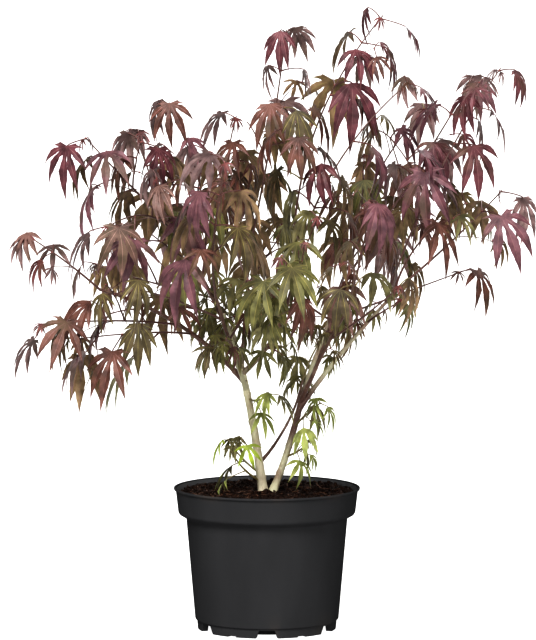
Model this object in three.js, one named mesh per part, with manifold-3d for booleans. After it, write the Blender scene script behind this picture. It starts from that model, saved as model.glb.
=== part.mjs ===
// A young garden shrub with hanging palmate leaves, in a black nursery pot.
// Millimetres, +Z up. The origin is the middle of the pot's flat underside, and -Y faces the viewer.
import * as THREE from "three";
import { mergeVertices } from "three/addons/utils/BufferGeometryUtils.js";
import Module from "manifold-3d";

const wasm = await Module();
wasm.setup();

// What every piece keeps from its neighbour, the extra room a leaf is tested with, how far off a
// shoot's host is looked for when the shoot is seated on it, and the shortest edge of a cut solid
const clearance = 0.3;
const leafRoom = 0.4;
const seatSearch = 5;
const shortestEdge = 0.02;

// The pot: a three-litre nursery pot, moulded with a thin wall and a deep collar
const potHeight = 145;
const wall = 1.3;
const lipRadius = 95;
const lipDepth = 2.2;
const lipRounding = 0.7;
const lipWall = 2.9;
const collarTopRadius = 93;
const collarFootRadius = 90.5;
const collarFoot = 119;
const bodyTopRadius = 82.4;
const bodyTop = 114;
const bodyFootRadius = 73.3;
const crease = 10;
const baseRadius = 70.7;
const baseLean = 0.8;
const potSegments = 36;

// Under the pot: a flat middle, a ring-shaped hollow with square drain holes in its roof, and a foot
// ring cut by six channels, with a shallow notch half way between each two of them
const channels = 6;
const hollowHeight = 8;
const hollowInner = 46;
const hollowOuter = 64.5;
const channelTopWidth = 15.7;
const channelFootWidth = 22.6;
const notchWidth = 9;
const notchHeight = 1.2;
const drainHoleSize = 7;

// The potting mix: level at the stems' feet, lumpy round them, with a mound at the back right
const soilLevel = 140;
const soilEdge = 138;
const soilFlatRadius = 15;
const soilRings = [32, 50, 67, 80];
const longLump = { height: 1.1, alongX: 0.21, alongY: 0.17, shift: 0.5 };
const shortLump = { height: 0.8, alongX: 0.37, alongY: -0.29 };
const moundPlace = [58, 34];
const moundHeight = 3;
const moundRadius = 16;

// Limbs: what each grows on and how far along it, then its length, its heading round +Z from +X, its
// rise above level, how far its middle is drawn up and sideways, and its radius at root and tip.
const limbSides = 6;
const limbStep = 22;
const extraStemSteps = 2;
const rootFlare = 0.9;
const flareHeight = 9;
const leftFoot = -4.3;
const rightFoot = 6.2;
const limbRows = [
  ["left_stem", leftFoot, 0, 132, 170, 80, 2, -1, 4.6, 3.3],
  ["right_stem", rightFoot, 0, 102, 352, 73, -2, 0, 3.6, 3.0],
  ["low_left_bough", "left_stem", 0.86, 180, 196, 33, 13, -1, 2.7, 1.5],
  ["upper_left_bough", "left_stem", 0.97, 167, 194, 63, 6, 0, 2.5, 1.4],
  ["middle_bough", "left_stem", 0.99, 108, 77, 75, 2, -3, 2.4, 1.4],
  ["leader_bough", "left_stem", 0.93, 117, 332, 60, -12, -1, 2.5, 1.4],
  ["left_front_bough", "left_stem", 0.8, 165, 256, 41, 4, -3, 2.3, 1.4],
  ["left_back_bough", "left_stem", 0.9, 149, 109, 40, 5, 3, 2.3, 1.4],
  ["right_bough", "right_stem", 0.88, 174, 352, 50, 4, 1, 2.6, 1.4],
  ["right_upper_bough", "right_stem", 0.99, 139, 27, 66, 1, 3, 2.5, 1.4],
  ["right_front_bough", "right_stem", 0.95, 150, 292, 41, 9, 4, 2.3, 1.4],
  ["right_back_bough", "right_stem", 0.93, 163, 68, 42, 8, -5, 2.3, 1.4],
  ["cross_bough", "left_stem", 0.22, 98, 27, 59, -9, 3, 1.5, 1.1],
  ["short_left_stub", "left_stem", 0.98, 60, 219, 68, 0, 0, 1.9, 1.6],
  ["short_right_stub", "left_stem", 0.95, 58, 148, 75, 0, 0, 1.9, 1.6],
];

// Leafy shoots: the same first eight values, then the pairs of leaves, the side twigs, the length of
// a leaf's middle lobe, the leaf colour, and how far the first pair is turned round the shoot.
const shootRows = [
  ["low_left_shoot", "low_left_bough", 1, 92, 191, 37, 2, 2, 3, 0, 42, "young", 20],
  ["left_level_shoot", "low_left_bough", 0.52, 146, 202, 2, 5, 16, 4, 1, 56, "wine", 10],
  ["left_drooping_shoot", "low_left_bough", 0.42, 118, 197, -1, 6, 28, 3, 1, 66, "wine", 52],
  ["upper_left_shoot", "upper_left_bough", 1, 122, 192, 46, -1, 0, 4, 1, 64, "wine", 20],
  ["left_rising_shoot", "upper_left_bough", 0.94, 109, 153, 68, -6, -2, 3, 1, 56, "wine", 30],
  ["left_inner_shoot", "upper_left_bough", 0.62, 182, 134, 73, -4, -26, 5, 1, 62, "wine", 60],
  ["left_front_shoot", "upper_left_bough", 0.9, 122, 236, 8, 17, 3, 3, 1, 66, "rose", 15],
  ["left_back_shoot", "upper_left_bough", 0.7, 151, 119, 16, -12, -15, 3, 1, 60, "olive", 75],
  ["centre_tall_shoot", "middle_bough", 1, 240, 344, 80, -2, 5, 5, 1, 60, "wine", 5],
  ["centre_left_shoot", "middle_bough", 0.85, 168, 105, 77, -14, 11, 4, 1, 60, "wine", 45],
  ["middle_low_shoot", "middle_bough", 0.3, 62, 208, 50, 4, 0, 3, 0, 50, "green", 10],
  ["front_high_shoot", "left_front_bough", 1, 146, 281, 66, -11, -8, 4, 1, 64, "wine", 25],
  ["front_low_shoot", "left_front_bough", 0.72, 126, 226, 17, 4, -7, 3, 1, 58, "olive", 70],
  ["front_inner_shoot", "left_front_bough", 0.5, 84, 318, 38, 6, 0, 3, 1, 54, "olive", 40],
  ["right_tall_shoot", "leader_bough", 1, 279, 18, 70, 25, 11, 5, 1, 62, "olive", 75],
  ["right_high_shoot", "leader_bough", 0.92, 240, 353, 60, 21, -13, 5, 1, 60, "wine", 65],
  ["back_high_shoot", "left_back_bough", 1, 142, 91, 64, -5, 12, 4, 1, 62, "wine", 50],
  ["back_left_shoot", "left_back_bough", 0.75, 148, 152, 12, 0, 12, 3, 1, 60, "wine", 20],
  ["back_centre_shoot", "left_back_bough", 0.6, 162, 61, 31, -3, -2, 3, 1, 60, "olive", 80],
  ["right_rising_shoot", "right_upper_bough", 1, 230, 356, 58, -2, 4, 5, 1, 64, "wine", 10],
  ["right_far_shoot", "right_bough", 0.82, 262, 353, 64, 8, -24, 5, 1, 60, "wine", 55],
  ["right_inner_shoot", "right_upper_bough", 0.86, 210, 30, 61, 9, 19, 4, 1, 62, "olive", 85],
  ["right_back_shoot", "right_back_bough", 1, 152, 45, 54, -11, 10, 4, 1, 62, "wine", 30],
  ["right_back_low_shoot", "right_back_bough", 0.7, 150, 22, 17, 0, -1, 3, 1, 58, "olive", 5],
  ["far_right_shoot", "right_bough", 1, 130, 356, 44, -2, -1, 4, 1, 60, "wine", 40],
  ["far_right_back_shoot", "right_bough", 0.88, 142, 46, 38, 3, 16, 3, 1, 58, "olive", 70],
  ["right_front_shoot", "right_front_bough", 1, 136, 289, 60, -7, 1, 4, 1, 62, "wine", 15],
  ["right_front_low_shoot", "right_front_bough", 0.68, 128, 305, 28, -5, -6, 3, 1, 56, "olive", 60],
  ["centre_front_shoot", "right_front_bough", 0.85, 135, 240, 34, -4, -13, 4, 1, 60, "olive", 35],
  ["right_low_shoot", "right_bough", 0.66, 48, 322, 30, -1, -6, 1, 0, 46, "olive", 80],
  ["right_young_shoot", "right_upper_bough", 0.73, 126, 300, 44, 6, -6, 3, 0, 52, "young", 50],
  ["inner_right_shoot", "leader_bough", 0.72, 120, 297, 55, -6, -6, 4, 0, 58, "olive", 20],
  ["inner_low_shoot", "cross_bough", 1, 52, 40, 58, 2, 0, 2, 0, 44, "green", 15],
  ["foot_left_shoot", "left_stem", 0.1, 48, 206, 48, -4, 1, 2, 0, 46, "green", 75],
  ["foot_high_shoot", "left_stem", 0.17, 42, 169, 47, -2, 1, 2, 0, 38, "green", 60],
  ["foot_right_shoot", "right_stem", 0.4, 30, 327, 34, -2, 0, 2, 0, 40, "green", 50],
  ["knot_shoot", "right_stem", 0.72, 44, 312, 35, 0, -2, 2, 0, 40, "green", 45],
  ["fork_shoot", "left_stem", 0.72, 31, 313, 15, -3, -2, 2, 0, 38, "green", 75],
];

// A shoot: three-sided, thick at its root, with its first pair of leaves a third of the way up
const shootSides = 3;
const shootRadii = [1.6, 1.1];
const shootSteps = 6;
const firstPair = 0.34;
const lastPair = 0.985;
const pairTurn = 90;
const pairJitter = 34;
const sizeJitter = 0.24;
const tipShrink = 0.24;

// A side twig: where the first leaves its shoot and how far on the next does, how it is turned round
// the shoot, how much it points square off the shoot and onward, and its share of the shoot's length
const firstTwig = 0.42;
const twigSpacing = 0.3;
const firstTwigTurn = 45;
const twigTurn = 137.5;
const twigSquare = 0.8;
const twigOnward = 0.6;
const twigShare = 0.42;
const longestTwig = 66;
const twigLeast = 0.9;
const twigRange = 0.2;
const twigArch = 0.06;
const twigRadii = [1.2, 1.0];
const twigSteps = 3;
const twigPairs = 2;
const twigFirstPair = 0.62;
const twigLeafShare = 0.86;

// A leaf stalk: its length in leaf lengths, how much it points square off its stem, onward and up, and
// how its end reaches along that line, bends level and sags
const stalkRadius = 0.45;
const shortestStalk = 0.6;
const stalkJitter = 0.35;
const stalkSquare = 0.85;
const stalkOnward = 0.3;
const stalkUpward = 0.15;
const stalkReach = 0.72;
const stalkBend = 0.25;
const stalkSag = 0.16;

// How a leaf hangs from its stalk: pulled outward, then its hang below level, its twist round its own
// length, how far its lobes spread, and how far they curl down, all in degrees but for the spread
const outwardPull = 0.2;
const hangLeast = 14;
const hangRange = 40;
const twistRange = 60;
const spreadLeast = 0.6;
const cupLeast = 10;
const cupRange = 24;

// A leaf: five lobes, the middle three widest half way along and the outer two plain points. The less a
// leaf is spread, the narrower its lobes are, so that they don't pass through each other.
const lobeAngles = [-74, -37, 0, 37, 74];
const lobeLengths = [0.62, 0.9, 1, 0.9, 0.62];
const lobeWidest = 0.52;
const lobeHalfWidth = 0.14;
const notchReach = 0.17;
const heelHalfWidth = 0.8;
const fanStep = 0.6;
const bladeStart = 0.8;
const leafThickness = 1 / 50;

// A shoot's own space is what lies nearer to it than to any other, with the leaves' hang allowed for
const leafHeart = 0.45;
const hangMarks = [0.1, 0.35, 0.6, 0.85, 1];
const spaceSlack = 26;

// The seed of a shoot's random numbers is this many times its place in the rows
const seedStep = 1009;

const looks = {
  pot: { color: 0x1d1d1f, roughness: 0.38 },
  soil: { color: 0x24130d, roughness: 0.95 },
  bark: { color: 0xa89a7c, roughness: 0.7 },
  limb: { color: 0x6a4a44, roughness: 0.7 },
  wine: { color: 0x6e4a52, roughness: 0.6 },
  rose: { color: 0x86675c, roughness: 0.6 },
  olive: { color: 0x5f5340, roughness: 0.6 },
  young: { color: 0x99524a, roughness: 0.6 },
  green: { color: 0x8d9247, roughness: 0.6 },
};
const degree = Math.PI / 180;
const up = new THREE.Vector3(0, 0, 1);
const down = new THREE.Vector3(0, 0, -1);

// Solids

// A closed geometry as a solid that can be joined and cut
function solidFrom(geometry) {
  const bare = geometry.clone();
  bare.deleteAttribute("normal");
  bare.deleteAttribute("uv");
  const merged = mergeVertices(bare, 1e-4);
  const mesh = new wasm.Mesh({
    numProp: 3,
    vertProperties: merged.attributes.position.array,
    triVerts: new Uint32Array(merged.index.array),
  });
  return new wasm.Manifold(mesh);
}

// The largest body of a solid, with edges too short to matter taken out: loose scraps are dropped and
// sealed hollows are filled
function mainBody(solid) {
  return solid
    .decompose()
    .reduce((best, body) => (body.volume() > best.volume() ? body : best))
    .simplify(shortestEdge);
}

function namedMesh(name, solid, look) {
  const { numProp, vertProperties, triVerts } = solid.getMesh();
  const position = new Float32Array((vertProperties.length / numProp) * 3);
  for (let i = 0; i * 3 < position.length; i++) {
    position.set(vertProperties.subarray(i * numProp, i * numProp + 3), i * 3);
  }
  const geometry = new THREE.BufferGeometry();
  geometry.setAttribute("position", new THREE.BufferAttribute(position, 3));
  geometry.setIndex(new THREE.BufferAttribute(triVerts, 1));
  geometry.computeVertexNormals();
  const material = new THREE.MeshStandardMaterial({ ...look, metalness: 0 });
  const mesh = new THREE.Mesh(geometry, material);
  mesh.name = name;
  return mesh;
}

// A turned shape from [radius, height] points that start and end on the axis
function turned(points, segments) {
  const profile = points.map(([r, z]) => new THREE.Vector2(r, z));
  return new THREE.LatheGeometry(profile, segments).rotateX(Math.PI / 2);
}

// A round limb or stalk: a cylinder whose rings are set square to a curve, as fat as radiusAt says.
// A level foot is slid along the limb to the height of its root. Room makes it fatter and longer.
function limbGeometry({ curve, side, radiusAt, levelFoot }, sides, steps, room = 0) {
  const geometry = new THREE.CylinderGeometry(1, 1, 1, sides, steps);
  const position = geometry.attributes.position;
  for (let i = 0; i < position.count; i++) {
    const t = Math.round((position.getY(i) + 0.5) * steps) / steps;
    const tangent = curve.getTangent(t);
    const across = side.clone().addScaledVector(tangent, -side.dot(tangent)).normalize();
    const other = across.clone().cross(tangent);
    const radius = radiusAt(t) + room;
    const end = t === 0 ? -room : t === 1 ? room : 0;
    const point = curve
      .getPoint(t)
      .addScaledVector(across, position.getX(i) * radius)
      .addScaledVector(other, position.getZ(i) * radius)
      .addScaledVector(tangent, end);
    if (levelFoot && t === 0) {
      point.addScaledVector(tangent, (curve.v0.z - room - point.z) / tangent.z);
    }
    position.setXYZ(i, point.x, point.y, point.z);
  }
  return geometry;
}

// The curve of a limb or shoot, and the level direction square to its heading
function limbCurve(root, length, heading, rise, arch, sweep) {
  const turn = heading * degree;
  const climb = rise * degree;
  const along = new THREE.Vector3(
    Math.cos(climb) * Math.cos(turn),
    Math.cos(climb) * Math.sin(turn),
    Math.sin(climb),
  );
  const side = new THREE.Vector3(-Math.sin(turn), Math.cos(turn), 0);
  const over = along.clone().cross(side);
  const tip = root.clone().addScaledVector(along, length);
  const middle = root.clone().add(tip).multiplyScalar(0.5);
  const control = middle.clone().addScaledVector(over, 2 * arch).addScaledVector(side, 2 * sweep);
  return { curve: new THREE.QuadraticBezierCurve3(root, control, tip), side };
}

const taper = ([from, to]) => (t) => from + (to - from) * t;

// Pot and potting mix

// The inside of the pot, or with room the outside of what fills it: flat in the middle, stepped over
// the hollow under the pot, then up the wall
function innerProfile(room, top, topRadius) {
  const step = hollowHeight + wall + room;
  return [
    [0, wall + room],
    [hollowInner - 2 * wall - room, wall + room],
    [hollowInner - wall - room, step],
    [baseRadius - wall - room, step],
    [bodyFootRadius - wall - room, crease + 2 * wall],
    [bodyTopRadius - wall - room, bodyTop + wall],
    [collarFootRadius - wall - room, collarFoot + 2 * wall],
    [topRadius - room, top],
    [0, top],
  ];
}

function outerProfile() {
  return [
    [0, 0],
    [baseRadius, 0],
    [baseRadius + baseLean, crease - 1],
    [bodyFootRadius, crease],
    [bodyTopRadius, bodyTop],
    [collarFootRadius - 1, collarFoot - 1],
    [collarFootRadius, collarFoot + 1],
    [collarTopRadius, potHeight - lipDepth - 1],
    [lipRadius, potHeight - lipDepth],
    [lipRadius, potHeight - lipRounding],
    [lipRadius - lipRounding, potHeight],
    [0, potHeight],
  ];
}

// A cut through the foot ring along +X, narrower at its roof than at the ground
function footCut(roofWidth, footWidth, height) {
  const section = new THREE.Shape();
  section.moveTo(-footWidth / 2, -1);
  section.lineTo(footWidth / 2, -1);
  section.lineTo(roofWidth / 2, height);
  section.lineTo(-roofWidth / 2, height);
  const depth = baseRadius - hollowOuter + 4;
  const geometry = new THREE.ExtrudeGeometry(section, { depth, bevelEnabled: false });
  return geometry.rotateX(Math.PI / 2).rotateZ(Math.PI / 2).translate(hollowOuter - 2, 0, 0);
}

function drainHole() {
  const hole = new THREE.BoxGeometry(drainHoleSize, drainHoleSize, 3 * wall);
  return hole.translate((hollowInner + hollowOuter) / 2, 0, hollowHeight + wall / 2);
}

// The same shape six times round the pot, the first of them turned from the viewer's side
function roundThePot(makeGeometry, turn) {
  return Array.from({ length: channels }, (_, i) =>
    solidFrom(makeGeometry().rotateZ(((i + turn) / channels) * 2 * Math.PI - Math.PI / 2)),
  );
}

function makePot() {
  const topRadius = lipRadius - lipWall;
  const inside = solidFrom(turned(innerProfile(0, potHeight + 1, topRadius), potSegments));
  const hollow = new THREE.LatheGeometry(
    [
      [hollowInner, -1],
      [hollowOuter, -1],
      [hollowOuter, hollowHeight],
      [hollowInner, hollowHeight],
      [hollowInner, -1],
    ].map(([r, z]) => new THREE.Vector2(r, z)),
    potSegments,
  ).rotateX(Math.PI / 2);
  const cuts = [
    inside,
    solidFrom(hollow),
    ...roundThePot(() => footCut(channelTopWidth, channelFootWidth, hollowHeight), 0),
    ...roundThePot(() => footCut(notchWidth, notchWidth, notchHeight), 0.5),
    ...roundThePot(drainHole, 0.5),
  ];
  let pot = solidFrom(turned(outerProfile(), potSegments));
  for (const cut of cuts) pot = pot.subtract(cut);
  return mainBody(pot);
}

// How far the potting mix stands above or below its level at a place
function soilBump(x, y) {
  const long = Math.sin(longLump.alongX * x + longLump.shift) * Math.cos(longLump.alongY * y);
  const short = Math.sin(shortLump.alongX * x + shortLump.alongY * y);
  const far = Math.hypot(x - moundPlace[0], y - moundPlace[1]) / moundRadius;
  const mound = moundHeight * Math.exp(-far * far);
  return longLump.height * long + shortLump.height * short + mound;
}

function makeSoil() {
  const edgeRadius = collarTopRadius - lipWall;
  const profile = innerProfile(clearance, soilEdge, edgeRadius).slice(0, -1);
  for (const radius of soilRings.toReversed()) profile.push([radius, soilLevel]);
  profile.push([soilFlatRadius, soilLevel], [0, soilLevel]);
  const geometry = turned(profile, potSegments);
  const position = geometry.attributes.position;
  for (let i = 0; i < position.count; i++) {
    const radius = Math.hypot(position.getX(i), position.getY(i));
    if (position.getZ(i) > soilEdge && radius > soilFlatRadius + 1) {
      position.setZ(i, soilLevel + soilBump(position.getX(i), position.getY(i)));
    }
  }
  return solidFrom(geometry);
}

// Limbs

// Each limb starts on the middle line of the one it grows on, and is cut clear of those before it
function growLimbs() {
  const limbs = new Map();
  for (const [name, on, at, length, heading, rise, arch, sweep, ...radii] of limbRows) {
    const parent = limbs.get(on);
    const root = parent
      ? parent.curve.getPoint(at)
      : new THREE.Vector3(on, 0, soilLevel + clearance);
    const limb = limbCurve(root, length, heading, rise, arch, sweep);
    const plain = taper(radii);
    const flare = parent ? 0 : rootFlare;
    limb.radiusAt = (t) => plain(t) + flare * Math.exp((-t * length) / flareHeight);
    limb.levelFoot = !parent;
    const steps = Math.round(length / limbStep) + (parent ? 0 : extraStemSteps);
    limb.solid = solidFrom(limbGeometry(limb, limbSides, steps));
    for (const other of limbs.values()) limb.solid = limb.solid.subtract(other.guard);
    limb.solid = mainBody(limb.solid);
    limb.guard = solidFrom(limbGeometry(limb, limbSides, steps, clearance));
    limb.look = parent ? looks.limb : looks.bark;
    limbs.set(name, limb);
  }
  return limbs;
}

// Leafy shoots

// Random numbers from 0 to 1 that are the same each time for one seed. The first few are near each
// other for neighbouring seeds, so three are left out.
function seededDraws(seed) {
  const [factor, shift, range] = [1664525, 1013904223, 2 ** 32];
  let state = seed;
  const next = () => {
    state = (Math.imul(state, factor) + shift) >>> 0;
    return state / range;
  };
  for (let i = 0; i < 3; i++) next();
  return next;
}

// The direction square to a stem at one place, turned round it by an angle in degrees
function squareTo(stem, t, turn) {
  const tangent = stem.curve.getTangent(t);
  const across = stem.side.clone().addScaledVector(tangent, -stem.side.dot(tangent)).normalize();
  const other = tangent.clone().cross(across);
  return across
    .multiplyScalar(Math.cos(turn * degree))
    .addScaledVector(other, Math.sin(turn * degree));
}

// Where one leaf's stalk runs and how the leaf hangs at its end
function planLeaf(stem, t, turn, size, draw) {
  const tangent = stem.curve.getTangent(t);
  const root = stem.curve.getPoint(t);
  const stalk = size * (shortestStalk + stalkJitter * draw());
  const hang = (hangLeast + hangRange * draw()) * degree;
  const twist = (draw() - 0.5) * twistRange * degree;
  const spread = spreadLeast + (1 - spreadLeast) * draw();
  const cup = (cupLeast + cupRange * draw()) * degree;
  const out = squareTo(stem, t, turn)
    .multiplyScalar(stalkSquare)
    .addScaledVector(tangent, stalkOnward)
    .addScaledVector(up, stalkUpward)
    .normalize();
  const outward = new THREE.Vector3(root.x, root.y, 0).normalize();
  const level = new THREE.Vector3(out.x, out.y, 0)
    .addScaledVector(outward, outwardPull)
    .normalize();
  const heel = root
    .clone()
    .addScaledVector(out, stalkReach * stalk)
    .addScaledVector(level, stalkBend * stalk)
    .addScaledVector(down, stalkSag * stalk);
  const along = level.clone().multiplyScalar(Math.sin(hang)).addScaledVector(down, Math.cos(hang));
  const face = level
    .clone()
    .multiplyScalar(Math.cos(hang))
    .addScaledVector(up, Math.sin(hang))
    .applyAxisAngle(along, twist);
  return { root, heel, along, face, size, spread, cup };
}

// The lobed edge of a leaf, from the right of its heel round the lobes to the left of it
function leafRim({ heel, along, face, size, spread, cup }, left, room) {
  const halfWidth = size * lobeHalfWidth * spread + room;
  const place = (angle, reach, aside = 0) => {
    const turn = angle * degree;
    const droop = cup * reach;
    const ahead = along
      .clone()
      .multiplyScalar(Math.cos(turn))
      .addScaledVector(left, Math.sin(turn));
    const across = face.clone().cross(ahead);
    return heel
      .clone()
      .addScaledVector(ahead, (size + room) * reach * Math.cos(droop))
      .addScaledVector(face, -size * reach * Math.sin(droop))
      .addScaledVector(across, aside * halfWidth);
  };
  const rim = [];
  const angles = lobeAngles.map((angle) => angle * spread);
  angles.forEach((angle, i) => {
    const length = lobeLengths[i];
    const outer = i === 0 || i === angles.length - 1;
    if (i > 0) rim.push(place((angle + angles[i - 1]) / 2, notchReach));
    if (!outer) rim.push(place(angle, length * lobeWidest, -length));
    rim.push(place(angle, length));
    if (!outer) rim.push(place(angle, length * lobeWidest, length));
  });
  const heelSide = (sign) => heel.clone().addScaledVector(left, sign * (heelHalfWidth + room));
  return [heelSide(-1), ...rim, heelSide(1)];
}

// A leaf and its four-sided stalk. The stalk's ring at the heel is set half way round the bend, and its
// last corners are the two ends of the rim. Two fans cover the rim from a point above the blade and one
// below it, just past that ring.
function leafGeometry(leaf, room = 0, stalkFrom = 0) {
  const { heel, along, face } = leaf;
  const left = face.clone().cross(along);
  const start = leaf.root.clone().lerp(heel, stalkFrom);
  const stalk = heel.clone().sub(start).normalize();
  const aside = left.clone().addScaledVector(stalk, -left.dot(stalk)).normalize();
  const above = stalk.clone().cross(aside);
  const middle = stalk.clone().add(along).cross(left).normalize();
  const half = (leaf.size * leafThickness) / 2 + room;
  const fanCentre = heel.clone().addScaledVector(along, fanStep);
  const rim = leafRim(leaf, left, room);
  const radius = stalkRadius + room;
  const points = [
    start.clone().addScaledVector(above, radius),
    start.clone().addScaledVector(aside, radius),
    start.clone().addScaledVector(above, -radius),
    start.clone().addScaledVector(aside, -radius),
    heel.clone().addScaledVector(middle, half),
    heel.clone().addScaledVector(middle, -half),
    fanCentre.clone().addScaledVector(face, half),
    fanCentre.clone().addScaledVector(face, -half),
    ...rim,
  ];
  const [heelTop, heelBottom, top, bottom, firstRim] = [4, 5, 6, 7, 8];
  const lastRim = firstRim + rim.length - 1;
  const heelRing = [heelTop, lastRim, heelBottom, firstRim];
  const faces = [0, 1, 2, 0, 2, 3];
  for (let i = 0; i < 4; i++) {
    const next = (i + 1) % 4;
    faces.push(next, i, heelRing[i], next, heelRing[i], heelRing[next]);
  }
  faces.push(lastRim, heelTop, top, heelTop, firstRim, top);
  faces.push(heelBottom, lastRim, bottom, firstRim, heelBottom, bottom);
  for (let k = firstRim; k < lastRim; k++) faces.push(top, k, k + 1, bottom, k + 1, k);
  return new THREE.BufferGeometry().setFromPoints(points).setIndex(faces);
}

// The pairs of leaves up one stem, each pair turned a quarter round from the last and smaller
function planPairs(stem, pairs, first, size, roll, draw) {
  const leaves = [];
  for (let k = 0; k < pairs; k++) {
    const t = pairs > 1 ? first + ((lastPair - first) * k) / (pairs - 1) : lastPair;
    const turn = roll + pairTurn * k + pairJitter * (draw() - 0.5);
    const pairSize = size * (1 - tipShrink * t) * (1 + sizeJitter * (draw() - 0.5));
    leaves.push(planLeaf(stem, t, turn, pairSize, draw));
    leaves.push(planLeaf(stem, t, turn + 180, pairSize, draw));
  }
  return leaves;
}

function planTwig(shoot, length, index, roll, draw) {
  const t = firstTwig + twigSpacing * index;
  const root = shoot.curve.getPoint(t);
  const ahead = squareTo(shoot, t, roll + firstTwigTurn + twigTurn * index)
    .multiplyScalar(twigSquare)
    .addScaledVector(shoot.curve.getTangent(t), twigOnward)
    .normalize();
  const reach = Math.min(length * twigShare, longestTwig) * (twigLeast + twigRange * draw());
  const heading = Math.atan2(ahead.y, ahead.x) / degree;
  const rise = Math.asin(ahead.z) / degree;
  const twig = limbCurve(root, reach, heading, rise, reach * twigArch, 0);
  twig.radiusAt = taper(twigRadii);
  return twig;
}

// A shoot starts just clear of the limb it grows on: beyond its tip, or square off its side. It is
// then slid until the gap that is left between the two is the clearance.
function planShoot(limbs, row, index) {
  const [name, on, at, length, heading, rise, arch, sweep, pairs, twigs, size, colour, roll] = row;
  const host = limbs.get(on);
  const middle = host.curve.getPoint(at);
  const tangent = host.curve.getTangent(at);
  const aim = limbCurve(middle, length, heading, rise, arch, sweep).curve.getTangent(0);
  let offset = tangent.clone().multiplyScalar(clearance);
  let lean = Math.sqrt(Math.max(0, 1 - aim.dot(tangent) ** 2));
  if (at < 1) {
    const square = aim.clone().addScaledVector(tangent, -aim.dot(tangent)).normalize();
    lean = Math.sqrt(Math.max(0, 1 - aim.dot(square) ** 2));
    offset = square.multiplyScalar(host.radiusAt(at) + clearance);
  }
  offset.setLength(offset.length() + lean * shootRadii[0]);
  const stemFrom = (root) => {
    const stem = limbCurve(root, length, heading, rise, arch, sweep);
    stem.radiusAt = taper(shootRadii);
    return stem;
  };
  const root = middle.clone().add(offset);
  const trial = solidFrom(limbGeometry(stemFrom(root.clone()), shootSides, shootSteps));
  const gap = trial.minGap(host.solid, seatSearch);
  const shoot = stemFrom(root.addScaledVector(offset.normalize(), clearance - gap));
  const draw = seededDraws(seedStep * (index + 1));
  const leaves = planPairs(shoot, pairs, firstPair, size, roll, draw);
  const stems = [shoot];
  for (let i = 0; i < twigs; i++) {
    const twig = planTwig(shoot, length, i, roll, draw);
    stems.push(twig);
    leaves.push(...planPairs(twig, twigPairs, twigFirstPair, size * twigLeafShare, roll, draw));
  }
  const wood = stems
    .map((stem, i) => solidFrom(limbGeometry(stem, shootSides, i === 0 ? shootSteps : twigSteps)))
    .reduce((a, b) => a.add(b));
  const hangLine = hangMarks.map((t) =>
    shoot.curve.getPoint(t).addScaledVector(down, leafHeart * size),
  );
  return { name, colour, leaves, wood, hangLine };
}

const nearest = (line, point) => Math.min(...line.map((p) => p.distanceTo(point)));

// A leaf is kept if it hangs in its own shoot's space and touches nothing of another piece
function growShoots(limbs, pot, soil) {
  const shoots = shootRows.map((row, index) => planShoot(limbs, row, index));
  const fixed = [pot, soil, ...Array.from(limbs.values(), (limb) => limb.solid)];
  const touches = (guard, solids) => solids.some((solid) => !guard.intersect(solid).isEmpty());
  for (const shoot of shoots) shoot.solid = shoot.wood;
  for (const shoot of shoots) {
    const others = shoots.filter((other) => other !== shoot);
    const solids = [...fixed, ...others.map((other) => other.solid)];
    for (const leaf of shoot.leaves) {
      const heart = leaf.heel.clone().addScaledVector(leaf.along, leafHeart * leaf.size);
      const own = nearest(shoot.hangLine, heart) - spaceSlack;
      if (others.some((other) => nearest(other.hangLine, heart) < own)) continue;
      const guard = solidFrom(leafGeometry(leaf, leafRoom));
      const blade = solidFrom(leafGeometry(leaf, 0, bladeStart));
      if (touches(guard, solids) || touches(blade, [shoot.wood])) continue;
      const whole = solidFrom(leafGeometry(leaf));
      shoot.solid = shoot.solid.add(whole);
      solids.push(whole);
    }
    shoot.solid = mainBody(shoot.solid);
  }
  return shoots;
}

const part = new THREE.Group();
const pot = makePot();
const soil = makeSoil();
part.add(namedMesh("pot", pot, looks.pot));
part.add(namedMesh("potting_mix", soil, looks.soil));
const limbs = growLimbs();
for (const [name, limb] of limbs) part.add(namedMesh(name, limb.solid, limb.look));
for (const shoot of growShoots(limbs, pot, soil)) {
  part.add(namedMesh(shoot.name, shoot.solid, looks[shoot.colour]));
}

export default part;
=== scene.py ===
"""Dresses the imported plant: a moulded pot, crumbly potting mix, bark, twigs and lobed leaves."""

import math
from collections import defaultdict

import bmesh
import bpy
import numpy as np
from bpy.props import FloatProperty, FloatVectorProperty, IntProperty, PointerProperty
from mathutils import Matrix, Vector, noise
from mathutils.bvhtree import BVHTree


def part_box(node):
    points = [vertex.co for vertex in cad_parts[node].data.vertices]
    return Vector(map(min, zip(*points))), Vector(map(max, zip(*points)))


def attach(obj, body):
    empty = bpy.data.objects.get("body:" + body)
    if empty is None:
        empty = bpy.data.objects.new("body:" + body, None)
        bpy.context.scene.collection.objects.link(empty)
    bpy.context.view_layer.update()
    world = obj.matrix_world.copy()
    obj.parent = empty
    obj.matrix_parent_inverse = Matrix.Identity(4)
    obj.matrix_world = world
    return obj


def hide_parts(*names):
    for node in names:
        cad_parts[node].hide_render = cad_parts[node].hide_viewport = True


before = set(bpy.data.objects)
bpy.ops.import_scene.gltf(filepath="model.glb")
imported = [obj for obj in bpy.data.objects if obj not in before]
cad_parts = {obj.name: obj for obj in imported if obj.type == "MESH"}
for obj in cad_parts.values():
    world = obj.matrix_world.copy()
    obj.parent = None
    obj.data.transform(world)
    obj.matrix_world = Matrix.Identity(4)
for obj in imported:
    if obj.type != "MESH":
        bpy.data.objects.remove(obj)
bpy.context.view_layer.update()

bl_info = {
    "name": "Potted Shrub",
    "version": (1, 0, 0),
    "blender": (4, 5, 0),
    "location": "3D View > Sidebar > Shrub",
    "description": "Makes a young shrub with hanging lobed leaves in a nursery pot",
    "category": "Object",
}

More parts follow.
